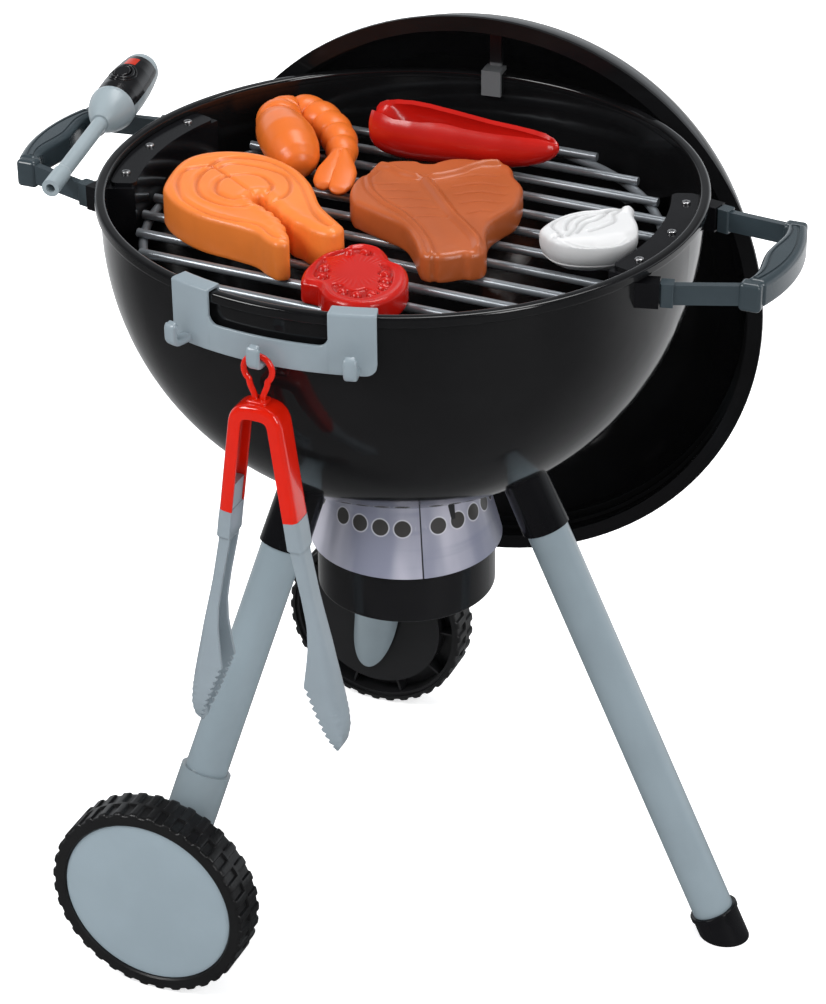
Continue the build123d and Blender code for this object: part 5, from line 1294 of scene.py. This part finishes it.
def jaw_ring(share, side):
    """Section of a jaw: out along one side, over the back, in along the other side and round the hollow."""
    narrow = 0.004 if 0.84 < share < 0.9 else 0.012
    outer, half = smooth_at(share, jaw_outer, narrow), smooth_at(share, jaw_half, narrow)
    inner = smooth_at(share, jaw_inner, narrow)
    if TEETH_TO < share < TEETH_FROM:
        place = (TEETH_FROM - share) / (TEETH_FROM - TEETH_TO) * TEETH
        inner += TOOTH * (0.5 + 0.5 * math.cos(2 * math.pi * (place - 0.5))) ** 1.5
    inner = min(inner, outer - 1.2)
    wall = min(JAW_WALL, (outer - inner) * 0.45, half * 0.6)
    open_share = np.interp(share, (0, 0.03, 0.82, 0.855), (0.3, 1, 1, 0.02))
    back = inner + (outer - wall - inner) * open_share
    bend = min(half * 0.72, (outer - inner) * 0.72)
    corners = [(inner, -half), (outer, -half), (outer, half), (inner, half), (inner, half - wall)]
    corners += [(back, half - wall), (back, -half + wall), (inner, -half + wall)]
    sizes = [0.5, bend, bend, 0.5, 0.5, bend * 0.5, bend * 0.5, 0.5]
    height = bow_end - JAW_LONG + share * JAW_LONG
    return [(bow_x + side * x, bow_y + y, height) for x, y in eased_flat(corners, sizes, 7)]


def plug_ring(up, side):
    """Section of the tongue that is pushed into the bow's channel."""
    slope = (END_HALF - TOP_HALF) / BOW_LONG
    outer, inner, half = END_HALF - slope * up - 2.1, END_HALF - slope * up - TONGS_DEEP + 0.4, 5.8
    corners = [(inner, -half), (outer, -half), (outer, half), (inner, half)]
    return [(bow_x + side * x, bow_y + y, bow_end + up) for x, y in eased_flat(corners, 1.0, 4)]


jaw_stretches = ((0, 0.02, 14), (0.02, 0.29, 140), (0.29, 0.84, 60), (0.84, 0.9, 22), (0.9, 0.999, 8))
jaw_shares = sorted({round(v, 5) for stretch in jaw_stretches for v in np.linspace(*stretch)})
for name, side in (("right", 1), ("left", -1)):
    blade = skin([jaw_ring(share, side) for share in jaw_shares], False)
    tongue = skin([plug_ring(up, side) for up in np.linspace(-1.5, 15, 6)], False)
    piece(f"jaw_{name}", *join(blade, tongue), "tongs_grey", f"tongs_{name}", [f"tongs_jaw_{name}"], flat=50)

# %% [markdown]
# The lighter is two half shells round a barrel that swells behind the nose and narrows to a domed cap.
# Stations are measured from its mouth along its axis, and every ring of points is a circle about that
# axis, cut along a level line into the dark upper and the pale lower shell.

# %% Lighter
BARREL_START, BARREL_END, LIGHTER_END, SPLIT, SEAM = 95.0, 137.0, 148.5, 1.5, 0.25
LIGHTER_MOUTH = Vector((-178.0, -67.7, 441.9))
LIGHTER_HEADING, LIGHTER_PITCH = math.radians(96.5), math.radians(5.63)
BUTTON_STATION, BUTTON_HALF_LONG, BUTTON_HALF_WIDE, POCKET = 113.0, 6.0, 4.5, 3.4
PATCH_STATION, PATCH_LONG, PATCH_WIDE = 128.4, 8.4, 6.8
CAP_RADIUS, CAP_TIP = 10.8, 0.05
barrel_radii = ((0, 12.3), (0.15, 12.9), (0.4, 13.0), (0.7, 12.4), (0.9, 11.5), (1, 10.9))
lighter_matrix = (Matrix.Translation(LIGHTER_MOUTH) @ Matrix.Rotation(LIGHTER_HEADING, 4, "Z")
                  @ Matrix.Rotation(-LIGHTER_PITCH, 4, "Y"))


def half_shell(upper):
    """Half of the barrel in the lighter's own frame: station, side, up."""
    rings = []
    for share in np.linspace(0, 1, 70):
        radius = np.interp(share, *zip(*barrel_radii)) - 0.5 * max(1 - share * 60, 0)
        level = SPLIT if upper else SPLIT - SEAM
        start = math.asin(level / radius)
        arc = (start, math.pi - start, 64) if upper else (math.pi - start, 2 * math.pi + start, 44)
        station = BARREL_START + 0.1 + share * (BARREL_END - BARREL_START - 0.2)
        ring = []
        for turn in np.linspace(*arc):
            oval = math.hypot((station - BUTTON_STATION) / (BUTTON_HALF_LONG + 1.0),
                              radius * math.cos(turn) / (BUTTON_HALF_WIDE + 1.0))
            reach = radius - POCKET * (upper and oval < 1 and math.sin(turn) > 0)
            ring.append((station, reach * math.cos(turn), reach * math.sin(turn)))
        rings.append(ring)
    return skin(rings, False)


def oval_ring(half_long, half_wide, wire):
    """Raised oval bead round the button, following the barrel."""
    path = []
    for turn in np.linspace(0, 2 * math.pi, 60, endpoint=False):
        side = half_wide * math.sin(turn)
        station = BUTTON_STATION + half_long * math.cos(turn)
        radius = np.interp((station - BARREL_START) / (BARREL_END - BARREL_START), *zip(*barrel_radii))
        path.append((station, side, math.sqrt(radius ** 2 - side ** 2)))
    return swept(path, circle(wire, 14), closed=True)


upper = join(half_shell(True), oval_ring(BUTTON_HALF_LONG + 1.3, BUTTON_HALF_WIDE + 1.3, 1.0),
             oval_ring(BUTTON_HALF_LONG + 3.4, BUTTON_HALF_WIDE + 3.0, 0.55))
piece("lighter_upper", *placed(upper, lighter_matrix), "lighter_black", "lighter", ["lighter_upper_shell"])
lower = placed(half_shell(False), lighter_matrix)
piece("lighter_lower", *lower, "lighter_grey", "lighter", ["lighter_lower_shell"])
cap_rings = []
for turn in [0, *np.linspace(0.04, math.pi / 2, 22)]:
    radius = CAP_RADIUS * math.cos(turn) ** 0.9 if turn < 1.57 else CAP_TIP
    station = BARREL_END + (LIGHTER_END - BARREL_END) * math.sin(turn)
    cap_rings.append([(station, sideways, upward) for sideways, upward in circle(radius, 64)])
cap = placed(skin(cap_rings, False), lighter_matrix)
piece("lighter_cap", *cap, "lighter_grey", "lighter", ["lighter_rear_cap"])


def paint_patch(dark):
    """Plain label on the dark shell, marked out in the lighter's own frame."""
    spots = []
    for column in range(3):
        axis = lighter_matrix.col[column].to_3d()
        dot = dark.add("ShaderNodeVectorMath", {"operation": "DOT_PRODUCT"}, {})
        dark.feed(dot.inputs[0], dark.spot)
        dark.feed(dot.inputs[1], tuple(axis))
        spots.append(Value(dark, dot.outputs["Value"]) * (1 / MM) - axis.dot(LIGHTER_MOUTH))
    along, sideways, upward = spots
    patch = (along - PATCH_STATION).sum("ABSOLUTE").step(PATCH_LONG / 2, PATCH_LONG / 2 + 0.15, 1, 0)
    patch = patch * sideways.sum("ABSOLUTE").step(PATCH_WIDE / 2, PATCH_WIDE / 2 + 0.15, 1, 0)
    patch = patch * upward.step(2.0, 2.2)
    dark.set("Base Color", dark.blend(patch, (0.008, 0.008, 0.009), (0.5, 0.03, 0.012)))


paint_patch(looks["lighter_black"])

# %% [markdown]
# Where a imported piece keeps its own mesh, a narrow bevel gives each corner the thin highlight that tells
# plastic from paper.

# %% Soft edges
soft_edges = {
    "handle_bracket_left": 1.2, "handle_bracket_right": 1.2, "handle_plate_left": 0.5,
    "handle_plate_right": 0.5, "lid_hook": 0.7, "leg_socket_foot": 0.6,
    "leg_socket_front": 0.6, "leg_socket_rear": 0.6, "handle_left": 0.4, "handle_right": 0.4}
for name, width in soft_edges.items():
    bevel = nodes[name].modifiers.new("soft_edge", "BEVEL")
    bevel.width = width * MM
    bevel.segments = 3
    bevel.limit_method = "ANGLE"
    bevel.angle_limit = math.radians(40)
    bevel.harden_normals = True
print("softened", len(soft_edges))
